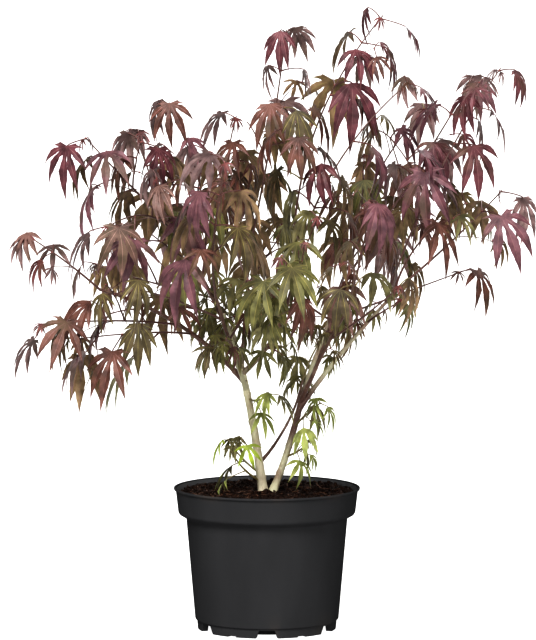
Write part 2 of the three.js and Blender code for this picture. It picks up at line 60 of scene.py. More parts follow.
POT_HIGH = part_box("pot")[1]
MIX_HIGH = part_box("potting_mix")[1]

# The plant is worked out in millimetres, and its meshes are made in metres
MM = 0.001
UP = Vector((0, 0, 1))
DOWN = Vector((0, 0, -1))

# Edges that turn more than this look sharp, in degrees; the pot and the limbs have their own
SHARP_TURN = 50

# The pot, in millimetres
POT_HEIGHT = POT_HIGH.z / MM
LIP_RADIUS = POT_HIGH.x / MM
WALL = 1.3
LIP_DEPTH = 2.2
LIP_WALL = 2.9
COLLAR_TOP_RADIUS = 93
COLLAR_FOOT_RADIUS = 90.5
COLLAR_FOOT = 119
BODY_TOP_RADIUS = 82.4
BODY_TOP = 114
BODY_FOOT_RADIUS = 73.3
CREASE = 10
BASE_RADIUS = 70.7
BASE_LEAN = 0.8
CHANNELS = 6
HOLLOW_HEIGHT = 8
HOLLOW_INNER = 46
HOLLOW_OUTER = 64.5
CHANNEL_TOP_WIDTH = 15.7
CHANNEL_FOOT_WIDTH = 22.6
NOTCH_WIDTH = 9
NOTCH_HEIGHT = 1.2
NOTCH_EDGES = (-0.05, 0.3)
DRAIN_HOLE = 7
POT_STEP_DEGREES = 2.5
POT_SHARP = 35

# The inner wall starts at this row of faces, counted from the hollow, up and over the lip
INNER_WALL_ROW = 37
# Painted light: the inner wall is the same black plastic made this many times lighter, where the lamps fall
# on it
INNER_WALL_PAINTED_LIGHT = 3.2

# Dried soil lies on the pot up to one height, and more and more between the others, in metres
DUSTY_FOOT = 0.03
DUSTY_RIM = (0.136, 0.1465)
FOOT_DUST = 0.22
RIM_DUST = 0.3

# The potting mix, in millimetres
MIX_LEVEL = 140
MIX_EDGE_RADIUS = MIX_HIGH.x / MM
MIX_EDGE_DROP = 2
MIX_SIDES = 180
FIRST_MIX_RING = 1.2
MIX_RING_STEP = 1.5
LONG_LUMP = {"height": 1.1, "along_x": 0.21, "along_y": 0.17, "shift": 0.5}
SHORT_LUMP = {"height": 0.8, "along_x": 0.37, "along_y": -0.29}
MOUND_PLACE = (58, 34)
MOUND_HEIGHT = 3
MOUND_RADIUS = 16

# Clods in the mix: a layer of the noise, its waves in a millimetre, and the clods' height
CLODS = ((0, 0.35, 1.1), (7, 0.9, 0.6))

# Loose crumbs and slivers: seeds, how far they keep off the wall, and their sizes and shapes
CRUMB_SEED = 31
SLIVER_SEED = 47
CRUMB_EDGE = 2.5
SMALLEST_CRUMB = 0.16
CRUMB_ROUGHNESS = 0.38
CRUMB_SQUASH = (0.6, 1.2)
SLIVER_EDGE = 9
SLIVER_LENGTHS = (2.5, 11)
SLIVER_THICKNESSES = (0.2, 0.75)
SLIVER_TILT = 0.25
SLIVER_BEND = 0.25
SLIVER_MARKS = (-0.5, -0.2, 0.2, 0.5)

# Limbs: what each grows on, or where its foot stands along X, and how far along it, then its length,
# its heading round +Z from +X, its rise above level, how far its middle is drawn up and sideways, and
# its radius at root and tip
LEFT_FOOT = -4.3
RIGHT_FOOT = 6.2
STEM_FLARE = 1.3
BOUGH_FLARE = 0.9
FLARE_HEIGHT = 9
STEM_DEPTH = 6
SUNK_WIDTH = 1.1
LIMB_ROWS = [
    ("left_stem", LEFT_FOOT, 0, 132, 170, 80, 2, -1, 4.6, 3.3),
    ("right_stem", RIGHT_FOOT, 0, 102, 352, 73, -2, 0, 3.6, 3.0),
    ("low_left_bough", "left_stem", 0.86, 180, 196, 33, 13, -1, 2.7, 1.5),
    ("upper_left_bough", "left_stem", 0.97, 167, 194, 63, 6, 0, 2.5, 1.4),
    ("middle_bough", "left_stem", 0.99, 108, 77, 75, 2, -3, 2.4, 1.4),
    ("leader_bough", "left_stem", 0.93, 117, 332, 60, -12, -1, 2.5, 1.4),
    ("left_front_bough", "left_stem", 0.8, 165, 256, 41, 4, -3, 2.3, 1.4),
    ("left_back_bough", "left_stem", 0.9, 149, 109, 40, 5, 3, 2.3, 1.4),
    ("right_bough", "right_stem", 0.88, 174, 352, 50, 4, 1, 2.6, 1.4),
    ("right_upper_bough", "right_stem", 0.99, 139, 27, 66, 1, 3, 2.5, 1.4),
    ("right_front_bough", "right_stem", 0.95, 150, 292, 41, 9, 4, 2.3, 1.4),
    ("right_back_bough", "right_stem", 0.93, 163, 68, 42, 8, -5, 2.3, 1.4),
    ("cross_bough", "left_stem", 0.22, 98, 27, 59, -9, 3, 1.5, 1.1),
    ("short_left_stub", "left_stem", 0.98, 60, 219, 68, 0, 0, 1.9, 1.6),
    ("short_right_stub", "left_stem", 0.95, 58, 148, 75, 0, 0, 1.9, 1.6),
]

# The joints of a limb: where they stand along it, how it swells at them, and how it kinks between them
LIMB_SEED = 97
FIRST_JOINT = (14, 26)
JOINT_GAPS = (20, 34)
LAST_JOINT = 8
JOINT_SWELL = 0.16
JOINT_HALF_LENGTH = 1.5
JOINT_KINK = 0.35
KINK_START = 20

# The rings of a limb's domed tip: how far each stands past the end, and its width, in tip radii
TIP_DOME = ((0.35, 0.9), (0.7, 0.6), (0.85, 0.2))
LIMB_SHARP = 60

# Waves of a limb's ridges round it and along it, its finer cracks, and the spread of a stem's roots
RIDGES_ROUND = 1.4
RIDGES_ALONG = 0.09
CRACKS_ROUND = 3
CRACKS_ALONG = 0.3
CRACK_SHARE = 0.5
ROOTS = 3
ROOT_TURN = 0.6
ROOT_SPREAD = 0.09

# A stem's bark is paler up to these heights above the ground, in metres
PALE_FOOT = (0.142, 0.2)

# Bark turns from tan to brown between the first two heights above the ground, in metres; then how much
# of the tan's lightness is kept, and the height under which the bark is brown as well
BROWN_FROM = {
    "lowest": (0.13, 0.17, 0.5, 0),
    "low": (0.195, 0.23, 0.95, 0),
    "usual": (0.26, 0.33, 0.8, 0),
    "high": (0.29, 0.4, 0.65, 0.25),
}
LOWER_BROWN_BLEND = 0.012

# Which of these rows a limb's bark follows, where it isn't the usual one
BROWN_KINDS = {
    "cross_bough": "lowest",
    "low_left_bough": "lowest",
    "right_stem": "low",
    "right_front_bough": "lowest",
    "right_back_bough": "lowest",
    "right_bough": "high",
    "right_upper_bough": "high",
}

# Leafy shoots: the same first eight values, then the pairs of leaves, the side twigs, the length of a
# leaf's middle lobe, the leaf colour, and how far the first pair is turned round the shoot
SHOOT_ROWS = [
    ("low_left_shoot", "low_left_bough", 1, 92, 191, 37, 2, 2, 3, 0, 42, "young", 20),
    ("left_level_shoot", "low_left_bough", 0.52, 146, 202, 2, 5, 16, 4, 1, 56, "wine", 10),
    ("left_drooping_shoot", "low_left_bough", 0.42, 118, 197, -1, 6, 28, 3, 1, 66, "wine", 52),
    ("upper_left_shoot", "upper_left_bough", 1, 122, 192, 46, -1, 0, 4, 1, 64, "wine", 20),
    ("left_rising_shoot", "upper_left_bough", 0.94, 109, 153, 68, -6, -2, 3, 1, 56, "wine", 30),
    ("left_inner_shoot", "upper_left_bough", 0.62, 182, 134, 73, -4, -26, 5, 1, 62, "wine", 60),
    ("left_front_shoot", "upper_left_bough", 0.9, 122, 236, 8, 17, 3, 3, 1, 66, "rose", 15),
    ("left_back_shoot", "upper_left_bough", 0.7, 151, 119, 16, -12, -15, 3, 1, 60, "olive", 75),
    ("centre_tall_shoot", "middle_bough", 1, 240, 344, 80, -2, 5, 5, 1, 60, "wine", 5),
    ("centre_left_shoot", "middle_bough", 0.85, 168, 105, 77, -14, 11, 4, 1, 60, "wine", 45),
    ("middle_low_shoot", "middle_bough", 0.3, 62, 208, 50, 4, 0, 3, 0, 50, "green", 10),
    ("front_high_shoot", "left_front_bough", 1, 146, 281, 66, -11, -8, 4, 1, 64, "wine", 25),
    ("front_low_shoot", "left_front_bough", 0.72, 126, 226, 17, 4, -7, 3, 1, 58, "olive", 70),
    ("front_inner_shoot", "left_front_bough", 0.5, 84, 318, 38, 6, 0, 3, 1, 54, "olive", 40),
    ("right_tall_shoot", "leader_bough", 1, 279, 18, 70, 25, 11, 5, 1, 62, "olive", 75),
    ("right_high_shoot", "leader_bough", 0.92, 240, 353, 60, 21, -13, 5, 1, 60, "wine", 65),
    ("back_high_shoot", "left_back_bough", 1, 142, 91, 64, -5, 12, 4, 1, 62, "wine", 50),
    ("back_left_shoot", "left_back_bough", 0.75, 148, 152, 12, 0, 12, 3, 1, 60, "wine", 20),
    ("back_centre_shoot", "left_back_bough", 0.6, 162, 61, 31, -3, -2, 3, 1, 60, "olive", 80),
    ("right_rising_shoot", "right_upper_bough", 1, 230, 356, 58, -2, 4, 5, 1, 64, "wine", 10),
    ("right_far_shoot", "right_bough", 0.82, 262, 353, 64, 8, -24, 5, 1, 60, "wine", 55),
    ("right_inner_shoot", "right_upper_bough", 0.86, 210, 30, 61, 9, 19, 4, 1, 62, "olive", 85),
    ("right_back_shoot", "right_back_bough", 1, 152, 45, 54, -11, 10, 4, 1, 62, "wine", 30),
    ("right_back_low_shoot", "right_back_bough", 0.7, 150, 22, 17, 0, -1, 3, 1, 58, "olive", 5),
    ("far_right_shoot", "right_bough", 1, 130, 356, 44, -2, -1, 4, 1, 60, "wine", 40),
    ("far_right_back_shoot", "right_bough", 0.88, 142, 46, 38, 3, 16, 3, 1, 58, "olive", 70),
    ("right_front_shoot", "right_front_bough", 1, 136, 289, 60, -7, 1, 4, 1, 62, "wine", 15),
    ("right_front_low_shoot", "right_front_bough", 0.68, 128, 305, 28, -5, -6, 3, 1, 56, "olive", 60),
    ("centre_front_shoot", "right_front_bough", 0.85, 135, 240, 34, -4, -13, 4, 1, 60, "olive", 35),
    ("right_low_shoot", "right_bough", 0.66, 48, 322, 30, -1, -6, 1, 0, 46, "olive", 80),
    ("right_young_shoot", "right_upper_bough", 0.73, 126, 300, 44, 6, -6, 3, 0, 52, "young", 50),
    ("inner_right_shoot", "leader_bough", 0.72, 120, 297, 55, -6, -6, 4, 0, 58, "olive", 20),
    ("inner_low_shoot", "cross_bough", 1, 52, 40, 58, 2, 0, 2, 0, 44, "green", 15),
    ("foot_left_shoot", "left_stem", 0.1, 48, 206, 48, -4, 1, 2, 0, 46, "green", 75),
    ("foot_high_shoot", "left_stem", 0.17, 42, 169, 47, -2, 1, 2, 0, 38, "green", 60),
    ("foot_right_shoot", "right_stem", 0.4, 30, 327, 34, -2, 0, 2, 0, 40, "green", 50),
    ("knot_shoot", "right_stem", 0.72, 44, 312, 35, 0, -2, 2, 0, 40, "green", 45),
    ("fork_shoot", "left_stem", 0.72, 31, 313, 15, -3, -2, 2, 0, 38, "green", 75),
]

# Where leaves and side twigs leave a shoot, in shares of its length and in degrees round it
CLEARANCE = 0.3
SHOOT_RADII = (1.6, 1.1)
FIRST_PAIR = 0.34
LAST_PAIR = 0.985
PAIR_TURN = 90
PAIR_JITTER = 34
SIZE_JITTER = 0.24
TIP_SHRINK = 0.24
FIRST_TWIG = 0.42
TWIG_SPACING = 0.3
FIRST_TWIG_TURN = 45
TWIG_TURN = 137.5
TWIG_SQUARE = 0.8
TWIG_ONWARD = 0.6
TWIG_SHARE = 0.42
LONGEST_TWIG = 66
TWIG_LEAST = 0.9
TWIG_RANGE = 0.2
TWIG_ARCH = 0.06
TWIG_RADII = (1.2, 1.0)
TWIG_PAIRS = 2
TWIG_FIRST_PAIR = 0.62
TWIG_LEAF_SHARE = 0.86

# How a leaf's stalk leaves its stem, and how the leaf hangs from the stalk's end
SHORTEST_STALK = 0.6
STALK_JITTER = 0.35
LONG_STALK_SIZE = 45
TIP_STALK_SHRINK = 0.35
STALK_SQUARE = 0.85
STALK_ONWARD = 0.3
STALK_UPWARD = 0.15
STALK_REACH = 0.72
STALK_BEND = 0.25
STALK_SAG = 0.16
OUTWARD_PULL = 0.2
HANG_LEAST = 14
HANG_RANGE = 40
TWIST_RANGE = 60
SPREAD_LEAST = 0.6
CUP_LEAST = 10
CUP_RANGE = 24

# A shoot's own space is what lies nearer to it than to any other
LEAF_HEART = 0.45
HANG_MARKS = (0.1, 0.35, 0.6, 0.85, 1)
SPACE_SLACK = 26
SEED_STEP = 1009
FINE_SEED = 7
SPUR_SEED = 13
PAIR_SEED = 29

# The plain tubes that stand for the wood when leaves are tested for touching it
PLAIN_STEPS = 8
PLAIN_SIDES = 5
PLAIN_MARGIN = 8

# The finer growth that only the dressed plant has: thin side twigs, with smaller leaves
FINE_TWIG_SPACING = 85
FIRST_FINE_TWIG = 0.28
FINE_TWIG_REACH = 0.62
FINE_TWIG_TURN = 60
FINE_TWIG_LEAST = 0.8
FINE_TWIG_RANGE = 0.4
GREEN_TWIG_SPACING = 20
GREEN_TWIG_SHARE = 0.4
GREEN_LEAF_SHARE = 0.92
FINE_TWIG_SHARE = 0.3
LONGEST_FINE_TWIG = 40
FINE_LEAF_SHARE = 0.72
FINE_RADII = (0.75, 0.5)
WOOD_SHARE = 0.78
SHOOT_DEPTH = 2
TIP_LEAF_SIZES = (21, 14)
TIP_LEAF_TURN = 45

# Short spurs with small leaves: how many a bough has, and the share of its length where they stand
SPURS = {
    "low_left_bough": (2, 0.5, 0.75),
    "upper_left_bough": (5, 0.12, 0.65),
    "middle_bough": (6, 0.1, 0.75),
    "leader_bough": (6, 0.1, 0.75),
    "left_front_bough": (3, 0.2, 0.6),
    "left_back_bough": (4, 0.2, 0.7),
    "right_bough": (1, 0.6, 0.75),
    "right_upper_bough": (5, 0.3, 0.8),
    "right_front_bough": (2, 0.4, 0.75),
    "right_back_bough": (3, 0.35, 0.75),
    "cross_bough": (1, 0.75, 0.9),
}
SPUR_LENGTHS = (12, 36)
SPUR_LEAF_SIZES = (26, 40)
SPUR_PAIRS = 2
SPUR_TURN_RANGE = 70

# Single pairs of large leaves that stand straight on a shoot: its name, their place along it, their
# size, and their turn round it
LARGE_PAIRS = [
    ("right_tall_shoot", 0.7, 62, 0),
    ("right_tall_shoot", 0.88, 46, 60),
    ("right_far_shoot", 0.9, 56, 40),
    ("centre_tall_shoot", 0.56, 58, 20),
]

# Shoots that have shed some of their lowest leaves, with the share that is gone
SHED = {
    "right_back_low_shoot": 0.55,
    "right_front_low_shoot": 0.55,
    "far_right_back_shoot": 0.35,
    "far_right_shoot": 0.3,
    "right_front_shoot": 0.2,
    "low_left_shoot": 0.4,
    "front_low_shoot": 0.5,
}

# Leaves that stand this high on the plant are still small
HIGH_ROOT = 545
HIGH_LEAF_SHARE = 0.8

# A blade: its lobes' angles and lengths, its width, and how its lobes are parted
LOBE_ANGLES = (-112, -74, -37, 0, 37, 74, 112)
LOBE_LENGTHS = (0.3, 0.6, 0.88, 1, 0.88, 0.6, 0.3)
LOBE_WIDEST = 0.56
LOBE_HALF_WIDTH = 0.09
LOBE_FOOT_WIDTH = 0.034
LOBE_FULLNESS = 0.8
NEW_LEAF_WIDTH = 0.7
WIDTH_GROWTH = 0.3
FULL_WIDTH_SIZE = 55
BLADE_WIDEST = 0.47
LARGE_LEAF = 38
LARGE_LEAF_SHARE = 0.75
STIFF_SIZE = 34
STIFF_GATHER = 1.05
STIFF_WEIGHT = 0.35
MIDDLE_HANG = 0.4
NOTCH_REACH = 0.17
LAST_NOTCH = 20
TIP_SHARPNESS = 0.55
BLADE_STATIONS = 13
SMALL_BLADE_STATIONS = 9
HEEL_POINTS = 2
STATION_POINTS = 8
BLADE_THICKNESS = 0.28
RIB_HALF_WIDTH = 0.26
RIB_FULL_SIZE = 50
RIB_TAPER = 0.75
RIB_RISE = 0.2

# How far one lobe differs from the next: its turn, bend, sag and roll in radians, and shares of the rest
LOBE_TURN_SPREAD = 0.06
LOBE_LENGTH_RANGE = (0.93, 1.05)
LOBE_BEND_SPREAD = 0.16
LOBE_SAG = 0.12
LOBE_SAG_SPREAD = 0.2
LOBE_ROLL_SPREAD = 0.3
FOLD_RANGE = (0.4, 1.3)
WAVE_HEIGHT = 0.06
WAVE_STEP = 1.7
WAVE_STARTS = 6
BULGE = 0.06

# How a leaf's own stem is found: marks along a stem, and how near to it and to its root the leaf starts
STEM_MARKS = 60
ON_STEM = 0.4
FAR_OFF = 1.3

# Twigs and stalks: the joints of a twig, and the thickness of a stalk and its bud for a leaf's size
TWIG_SIDES = 7
TWIG_STEP = 3
TWIG_SWELL = 0.45
TWIG_SWELL_LENGTH = 1.3
TWIG_KINK = 0.5
TWIG_THINNING = 0.3
STALK_SIDES = 6
STALK_THICKNESS = 0.34
STALK_THICKENING = 0.006
STALK_HEEL = 1.5
STALK_THINNING = 0.25
STALK_BOW = 0.4
STALK_INTO_LEAF = 0.08
STALK_ASIDE = 0.06
BUD_SIZE = 0.55
BUD_GROWTH = 0.008
BUD_OUTWARD = 0.8
BUD_UPWARD = 0.6
BUD_STEP = 0.5
BUD_RINGS = ((0.0, 0.75), (0.5, 1.0), (1.2, 0.75))
BUD_TIP = 2.1
BUD_SIDES = 6

# The places of the twigs' materials in their list
TWIG_BARK, RED_STALK, GREEN_STALK, BUD_SCALE = range(4)

# Which tints a mass of each colour holds, from its most exposed leaves to its most shaded: upper side,
# under side, rib, and its share of the leaves
TINT_SHARES = {
    "wine": [
        ("wine", "pink_under", "pale_rib", 0.28),
        ("mauve", "pink_under", "pale_rib", 0.16),
        ("brown", "olive_under", "pale_rib", 0.24),
        ("olive", "olive_under", "green_rib", 0.2),
        ("moss", "green_under", "green_rib", 0.12),
    ],
    "rose": [
        ("rose", "pink_under", "bright_rib", 0.6),
        ("mauve", "pink_under", "pale_rib", 0.25),
        ("brown", "olive_under", "pale_rib", 0.15),
    ],
    "olive": [
        ("wine", "pink_under", "pale_rib", 0.16),
        ("brown", "olive_under", "pale_rib", 0.24),
        ("olive", "olive_under", "green_rib", 0.32),
        ("moss", "green_under", "green_rib", 0.28),
    ],
    "young": [
        ("young", "pink_under", "pale_rib", 0.3),
        ("wine", "pink_under", "pale_rib", 0.3),
        ("rose", "pink_under", "pale_rib", 0.2),
        ("brown", "olive_under", "pale_rib", 0.2),
    ],
    "green": [
        ("green", "green_under", "green_rib", 0.5),
        ("lime", "green_under", "green_rib", 0.26),
        ("moss", "green_under", "green_rib", 0.24),
    ],
}

# How a leaf's place in the crown decides its tint
LEAFY_REACH = 210
LEAFY_MIDDLE = 390
LEAFY_TOP = 580
OUT_SHARE = 0.45
HIGH_SHARE = 0.65
TINT_SPREAD = 0.18
FOOT_HEIGHT = 250
HIGH_GREEN_SHARE = 0.26
LOW_GREEN_SHARE = 0.35
# Low leaves on the left side shift towards the paler lime tint: paler as shade leaves are, and painted
# light where the crown's shadow falls on them
PALE_AND_PAINTED_LIGHT_SHIFT = 0.4
TINT_SEED = 131
PLAIN_FLUSH = 0.75

# Roughness and sheen of a leaf's upper side and ribs, and of its under side
UPPER_FINISH = (0.45, 0.05)
UNDER_FINISH = (0.58, 0.15)

# Lights: their softness, then the side that they shine from, counted to the right from the viewer's,
# and their height, in degrees
KEY_LIGHT = (24, -22, 48)
FILL_LIGHT = (40, 27, 20)
FRONT_LIGHT = (40, 0, 8)
BACK_LIGHT = (40, 165, 38)

# The sky is white up to the first height and dim from the second, in shares of straight up
SKY_FADE = (0.02, 0.16)
FLOOR_GREY = (0.25, 0.25, 0.25)
FLOOR_SIDES = 96
FLOOR_DROP = 0.0002
CAMERA_TURN = -0.016


# Settings


class PotSettings(bpy.types.PropertyGroup):
    """Sizes and finish of the pot."""

    corner: FloatProperty(
        name="Corner", description="How far each moulded corner is rounded", default=0.0009, unit="LENGTH"
    )
    colour: FloatVectorProperty(
        name="Colour", description="Black plastic", default=(0.035, 0.035, 0.036), subtype="COLOR"
    )
    dust: FloatVectorProperty(
        name="Dust", description="Dried soil on the plastic", default=(0.075, 0.058, 0.046), subtype="COLOR"
    )
    roughness: FloatProperty(
        name="Roughness", description="How dull the plastic is", default=0.55, subtype="FACTOR"
    )


class MixSettings(bpy.types.PropertyGroup):
    """Grains and colours of the potting mix."""

    crumbs: IntProperty(name="Crumbs", description="Loose crumbs of peat", default=3600)
    slivers: IntProperty(name="Slivers", description="Slivers of bark and root", default=420)
    crumb_size: FloatProperty(
        name="Crumb size", description="Largest crumb", default=0.0052, unit="LENGTH"
    )
    peat: FloatVectorProperty(
        name="Peat", description="Moist peat", default=(0.017, 0.008, 0.005), subtype="COLOR"
    )
    bark: FloatVectorProperty(
        name="Bark bits", description="Slivers of bark", default=(0.075, 0.035, 0.018), subtype="COLOR"
    )


class BarkSettings(bpy.types.PropertyGroup):
    """Relief and colours of the wood."""

    ring_step: FloatProperty(
        name="Ring step", description="Distance between a limb's rings", default=0.0016, unit="LENGTH"
    )
    sides: IntProperty(name="Sides", description="Points round a limb", default=20)
    relief: FloatProperty(
        name="Relief", description="Height of ridges, in radii", default=0.06, subtype="FACTOR"
    )
    stem: FloatVectorProperty(
        name="Stem", description="Greenish tan bark", default=(0.43, 0.41, 0.29), subtype="COLOR"
    )
    stem_shade: FloatVectorProperty(
        name="Stem shade", description="Greyer patches", default=(0.3, 0.26, 0.185), subtype="COLOR"
    )
    stem_foot: FloatVectorProperty(
        name="Stem foot", description="Paler bark low down", default=(0.45, 0.4, 0.325), subtype="COLOR"
    )
    bough: FloatVectorProperty(
        name="Bough", description="Young red-brown bark", default=(0.095, 0.055, 0.043), subtype="COLOR"
    )
    bough_light: FloatVectorProperty(
        name="Bough light", description="Weathered bark", default=(0.199, 0.137, 0.104), subtype="COLOR"
    )
    lenticel: FloatVectorProperty(
        name="Lenticels", description="Pale pores", default=(0.481, 0.415, 0.332), subtype="COLOR"
    )


class LeafSettings(bpy.types.PropertyGroup):
    """Shape of the leaves, and the tints of their two sides, ribs and stalks."""

    fold: FloatProperty(
        name="Fold", description="How far a lobe folds up along its rib", default=0.32, subtype="FACTOR"
    )
    tooth: FloatProperty(
        name="Teeth", description="Depth of the margin's teeth", default=0.1, subtype="FACTOR"
    )
    length: FloatProperty(name="Length", description="Of a lobe, against the plain solid's", default=1.18)
    gather: FloatProperty(name="Gather", description="How far the lobes are drawn together", default=0.97)
    weight: FloatProperty(name="Weight", description="How far the lobes hang down", default=1.25)
    wine: FloatVectorProperty(
        name="Wine", description="Red leaf in the light", default=(0.08, 0.03, 0.035), subtype="COLOR"
    )
    mauve: FloatVectorProperty(
        name="Mauve", description="Greyer red leaf", default=(0.096, 0.047, 0.054), subtype="COLOR"
    )
    brown: FloatVectorProperty(
        name="Brown", description="Partly shaded leaf", default=(0.083, 0.04, 0.03), subtype="COLOR"
    )
    rose: FloatVectorProperty(
        name="Rose", description="Pinker leaf", default=(0.116, 0.071, 0.06), subtype="COLOR"
    )
    olive: FloatVectorProperty(
        name="Olive", description="Shaded leaf", default=(0.071, 0.055, 0.03), subtype="COLOR"
    )
    moss: FloatVectorProperty(
        name="Moss", description="Most shaded leaf", default=(0.087, 0.083, 0.034), subtype="COLOR"
    )
    young: FloatVectorProperty(
        name="Young", description="New leaf on a red shoot", default=(0.106, 0.04, 0.038), subtype="COLOR"
    )
    green: FloatVectorProperty(
        name="Green", description="Leaf of a green shoot", default=(0.185, 0.205, 0.072), subtype="COLOR"
    )
    lime: FloatVectorProperty(
        name="Lime", description="Brightest green leaf", default=(0.21, 0.26, 0.038), subtype="COLOR"
    )
    flush: FloatVectorProperty(
        name="Flush", description="Olive parts of a leaf", default=(0.079, 0.066, 0.037), subtype="COLOR"
    )
    pink_under: FloatVectorProperty(
        name="Pink under", description="Below red leaves", default=(0.183, 0.129, 0.124), subtype="COLOR"
    )
    olive_under: FloatVectorProperty(
        name="Olive under", description="Below brown leaves", default=(0.158, 0.112, 0.066), subtype="COLOR"
    )
    green_under: FloatVectorProperty(
        name="Green under", description="Below green leaves", default=(0.149, 0.137, 0.071), subtype="COLOR"
    )
    pale_rib: FloatVectorProperty(
        name="Pale rib", description="Ribs of red leaves", default=(0.149, 0.083, 0.079), subtype="COLOR"
    )
    bright_rib: FloatVectorProperty(
        name="Bright rib", description="Ribs of rose leaves", default=(0.266, 0.174, 0.149), subtype="COLOR"
    )
    green_rib: FloatVectorProperty(
        name="Green rib", description="Ribs of green leaves", default=(0.183, 0.158, 0.062), subtype="COLOR"
    )
    red_stalk: FloatVectorProperty(
        name="Red stalk", description="On red shoots", default=(0.093, 0.043, 0.038), subtype="COLOR"
    )
    green_stalk: FloatVectorProperty(
        name="Green stalk", description="On green shoots", default=(0.141, 0.116, 0.054), subtype="COLOR"
    )
    twig_bark: FloatVectorProperty(
        name="Twig bark", description="Twigs of red shoots", default=(0.081, 0.043, 0.036), subtype="COLOR"
    )
    bud: FloatVectorProperty(
        name="Bud", description="Scales of the buds", default=(0.249, 0.083, 0.071), subtype="COLOR"
    )


class StageSettings(bpy.types.PropertyGroup):
    """Camera, lights and floor."""

    camera_distance: FloatProperty(
        name="Camera distance", description="From the pot's middle", default=4.0, unit="LENGTH"
    )
    camera_height: FloatProperty(
        name="Camera height", description="Above the floor", default=0.67, unit="LENGTH"
    )
    camera_tilt: FloatProperty(
        name="Camera tilt", description="Below level", default=math.radians(5.056), subtype="ANGLE"
    )
    camera_lens: FloatProperty(
        name="Lens", description="Focal length in millimetres", default=221.85, unit="CAMERA"
    )
    floor_radius: FloatProperty(
        name="Floor radius", description="Size of the pale floor", default=150.0, unit="LENGTH"
    )
    key: FloatProperty(name="Key light", description="Strength of the front left light", default=3.85)
    fill: FloatProperty(name="Fill light", description="Strength of the front right light", default=1.15)
    front: FloatProperty(name="Front light", description="Strength of the low front light", default=0.9)
    back: FloatProperty(name="Back light", description="Strength of the light from behind", default=1.4)
    sky: FloatProperty(name="Sky", description="Strength of the light from above", default=0.1)


# Materials


class Value:
    """What a socket gives out. Python's operators on a number add Math nodes."""

    def __init__(self, shader, socket):
        self.shader = shader
        self.socket = socket

    def maths(self, operation, *numbers):
        """One Math node of that operation."""
        return self.shader.node("ShaderNodeMath", {"operation": operation}, dict(enumerate(numbers)))

    def __add__(self, other):
        return self.maths("ADD", self, other)

    __radd__ = __add__

    def __mul__(self, other):
        return self.maths("MULTIPLY", self, other)

    __rmul__ = __mul__

    def __sub__(self, other):
        return self.maths("SUBTRACT", self, other)

    def __rsub__(self, other):
        return self.maths("SUBTRACT", other, self)

    def between(self, low, high):
        """0 below low, 1 above high, and smooth between them."""
        node = {"interpolation_type": "SMOOTHSTEP"}
        return self.shader.node("ShaderNodeMapRange", node, {"Value": self, 1: low, 2: high})


class Shader:
    """The nodes of a material or of the world, with a method that adds any node."""

    def __init__(self, owner, surface="Principled BSDF"):
        owner.use_nodes = True
        self.owner = owner
        self.tree = owner.node_tree
        self.surface = self.tree.nodes[surface]

    def node(self, kind, settings, inputs, output=0):
        """A node of that kind: its settings first, then the values or links of its sockets."""
        made = self.tree.nodes.new(kind)
        for key, value in settings.items():
            setattr(made, key, value)
        for key, value in inputs.items():
            self.give(made, key, value)
        return Value(self, self.output_of(made, output))

    def output_of(self, made, key):
        """One of a node's outputs, by its place or its name."""
        if isinstance(key, int):
            return made.outputs[key]
        return next(s for s in made.outputs if key in (s.identifier, s.name))

    def give(self, made, key, value):
        """Sets one socket, or links it."""
        if isinstance(key, int):
            socket = made.inputs[key]
        else:
            socket = next(s for s in made.inputs if key in (s.identifier, s.name))
        if isinstance(value, Value):
            self.tree.links.new(value.socket, socket)
        elif socket.type == "RGBA":
            socket.default_value = (*value[:3], 1)
        else:
            socket.default_value = value

    def place(self, stretch=None):
        """A point's place on its object, multiplied along each axis for a stretched pattern."""
        place = self.node("ShaderNodeTexCoord", {}, {}, "Object")
        if stretch is None:
            return place
        return self.node("ShaderNodeVectorMath", {"operation": "MULTIPLY"}, {0: place, 1: stretch})

    def height(self):
        """A point's height above the ground."""
        return self.node("ShaderNodeSeparateXYZ", {}, {0: self.place()}, "Z")

    def clouds(self, scale, detail=4, stretch=None):
        """Soft noise from 0 to 1, with that many waves in a metre."""
        inputs = {"Vector": self.place(stretch), "Scale": scale, "Detail": detail}
        return self.node("ShaderNodeTexNoise", {}, inputs, "Fac")

    def cells(self, scale, stretch=None):
        """Distance to the nearest of scattered points, with that many in a metre."""
        inputs = {"Vector": self.place(stretch), "Scale": scale}
        return self.node("ShaderNodeTexVoronoi", {}, inputs, "Distance")

    def mix(self, share, first, second):
        """A colour between two others."""
        inputs = {"Factor_Float": share, "A_Color": first, "B_Color": second}
        return self.node("ShaderNodeMix", {"data_type": "RGBA"}, inputs, "Result_Color")

    def tones(self, share, colour, dark, light):
        """A colour between two tones of itself."""
        return self.mix(share, shaded(colour, dark), shaded(colour, light))

    def bump(self, height, strength, distance):
        """Relief on the surface, in metres."""
        inputs = {"Height": height, "Strength": strength, "Distance": distance}
        self.give(self.surface, "Normal", self.node("ShaderNodeBump", {}, inputs, "Normal"))

    def finish(self, **sockets):
        """Gives the surface its sockets, named with _ for each space."""
        for key, value in sockets.items():
            self.give(self.surface, key.replace("_", " "), value)
        return self.owner


def new_material(name):
    """The shader of a new material."""
    return Shader(bpy.data.materials.new(name))


def shaded(colour, share):
    """A colour made darker or lighter."""
    return tuple(min(1.0, part * share) for part in colour)


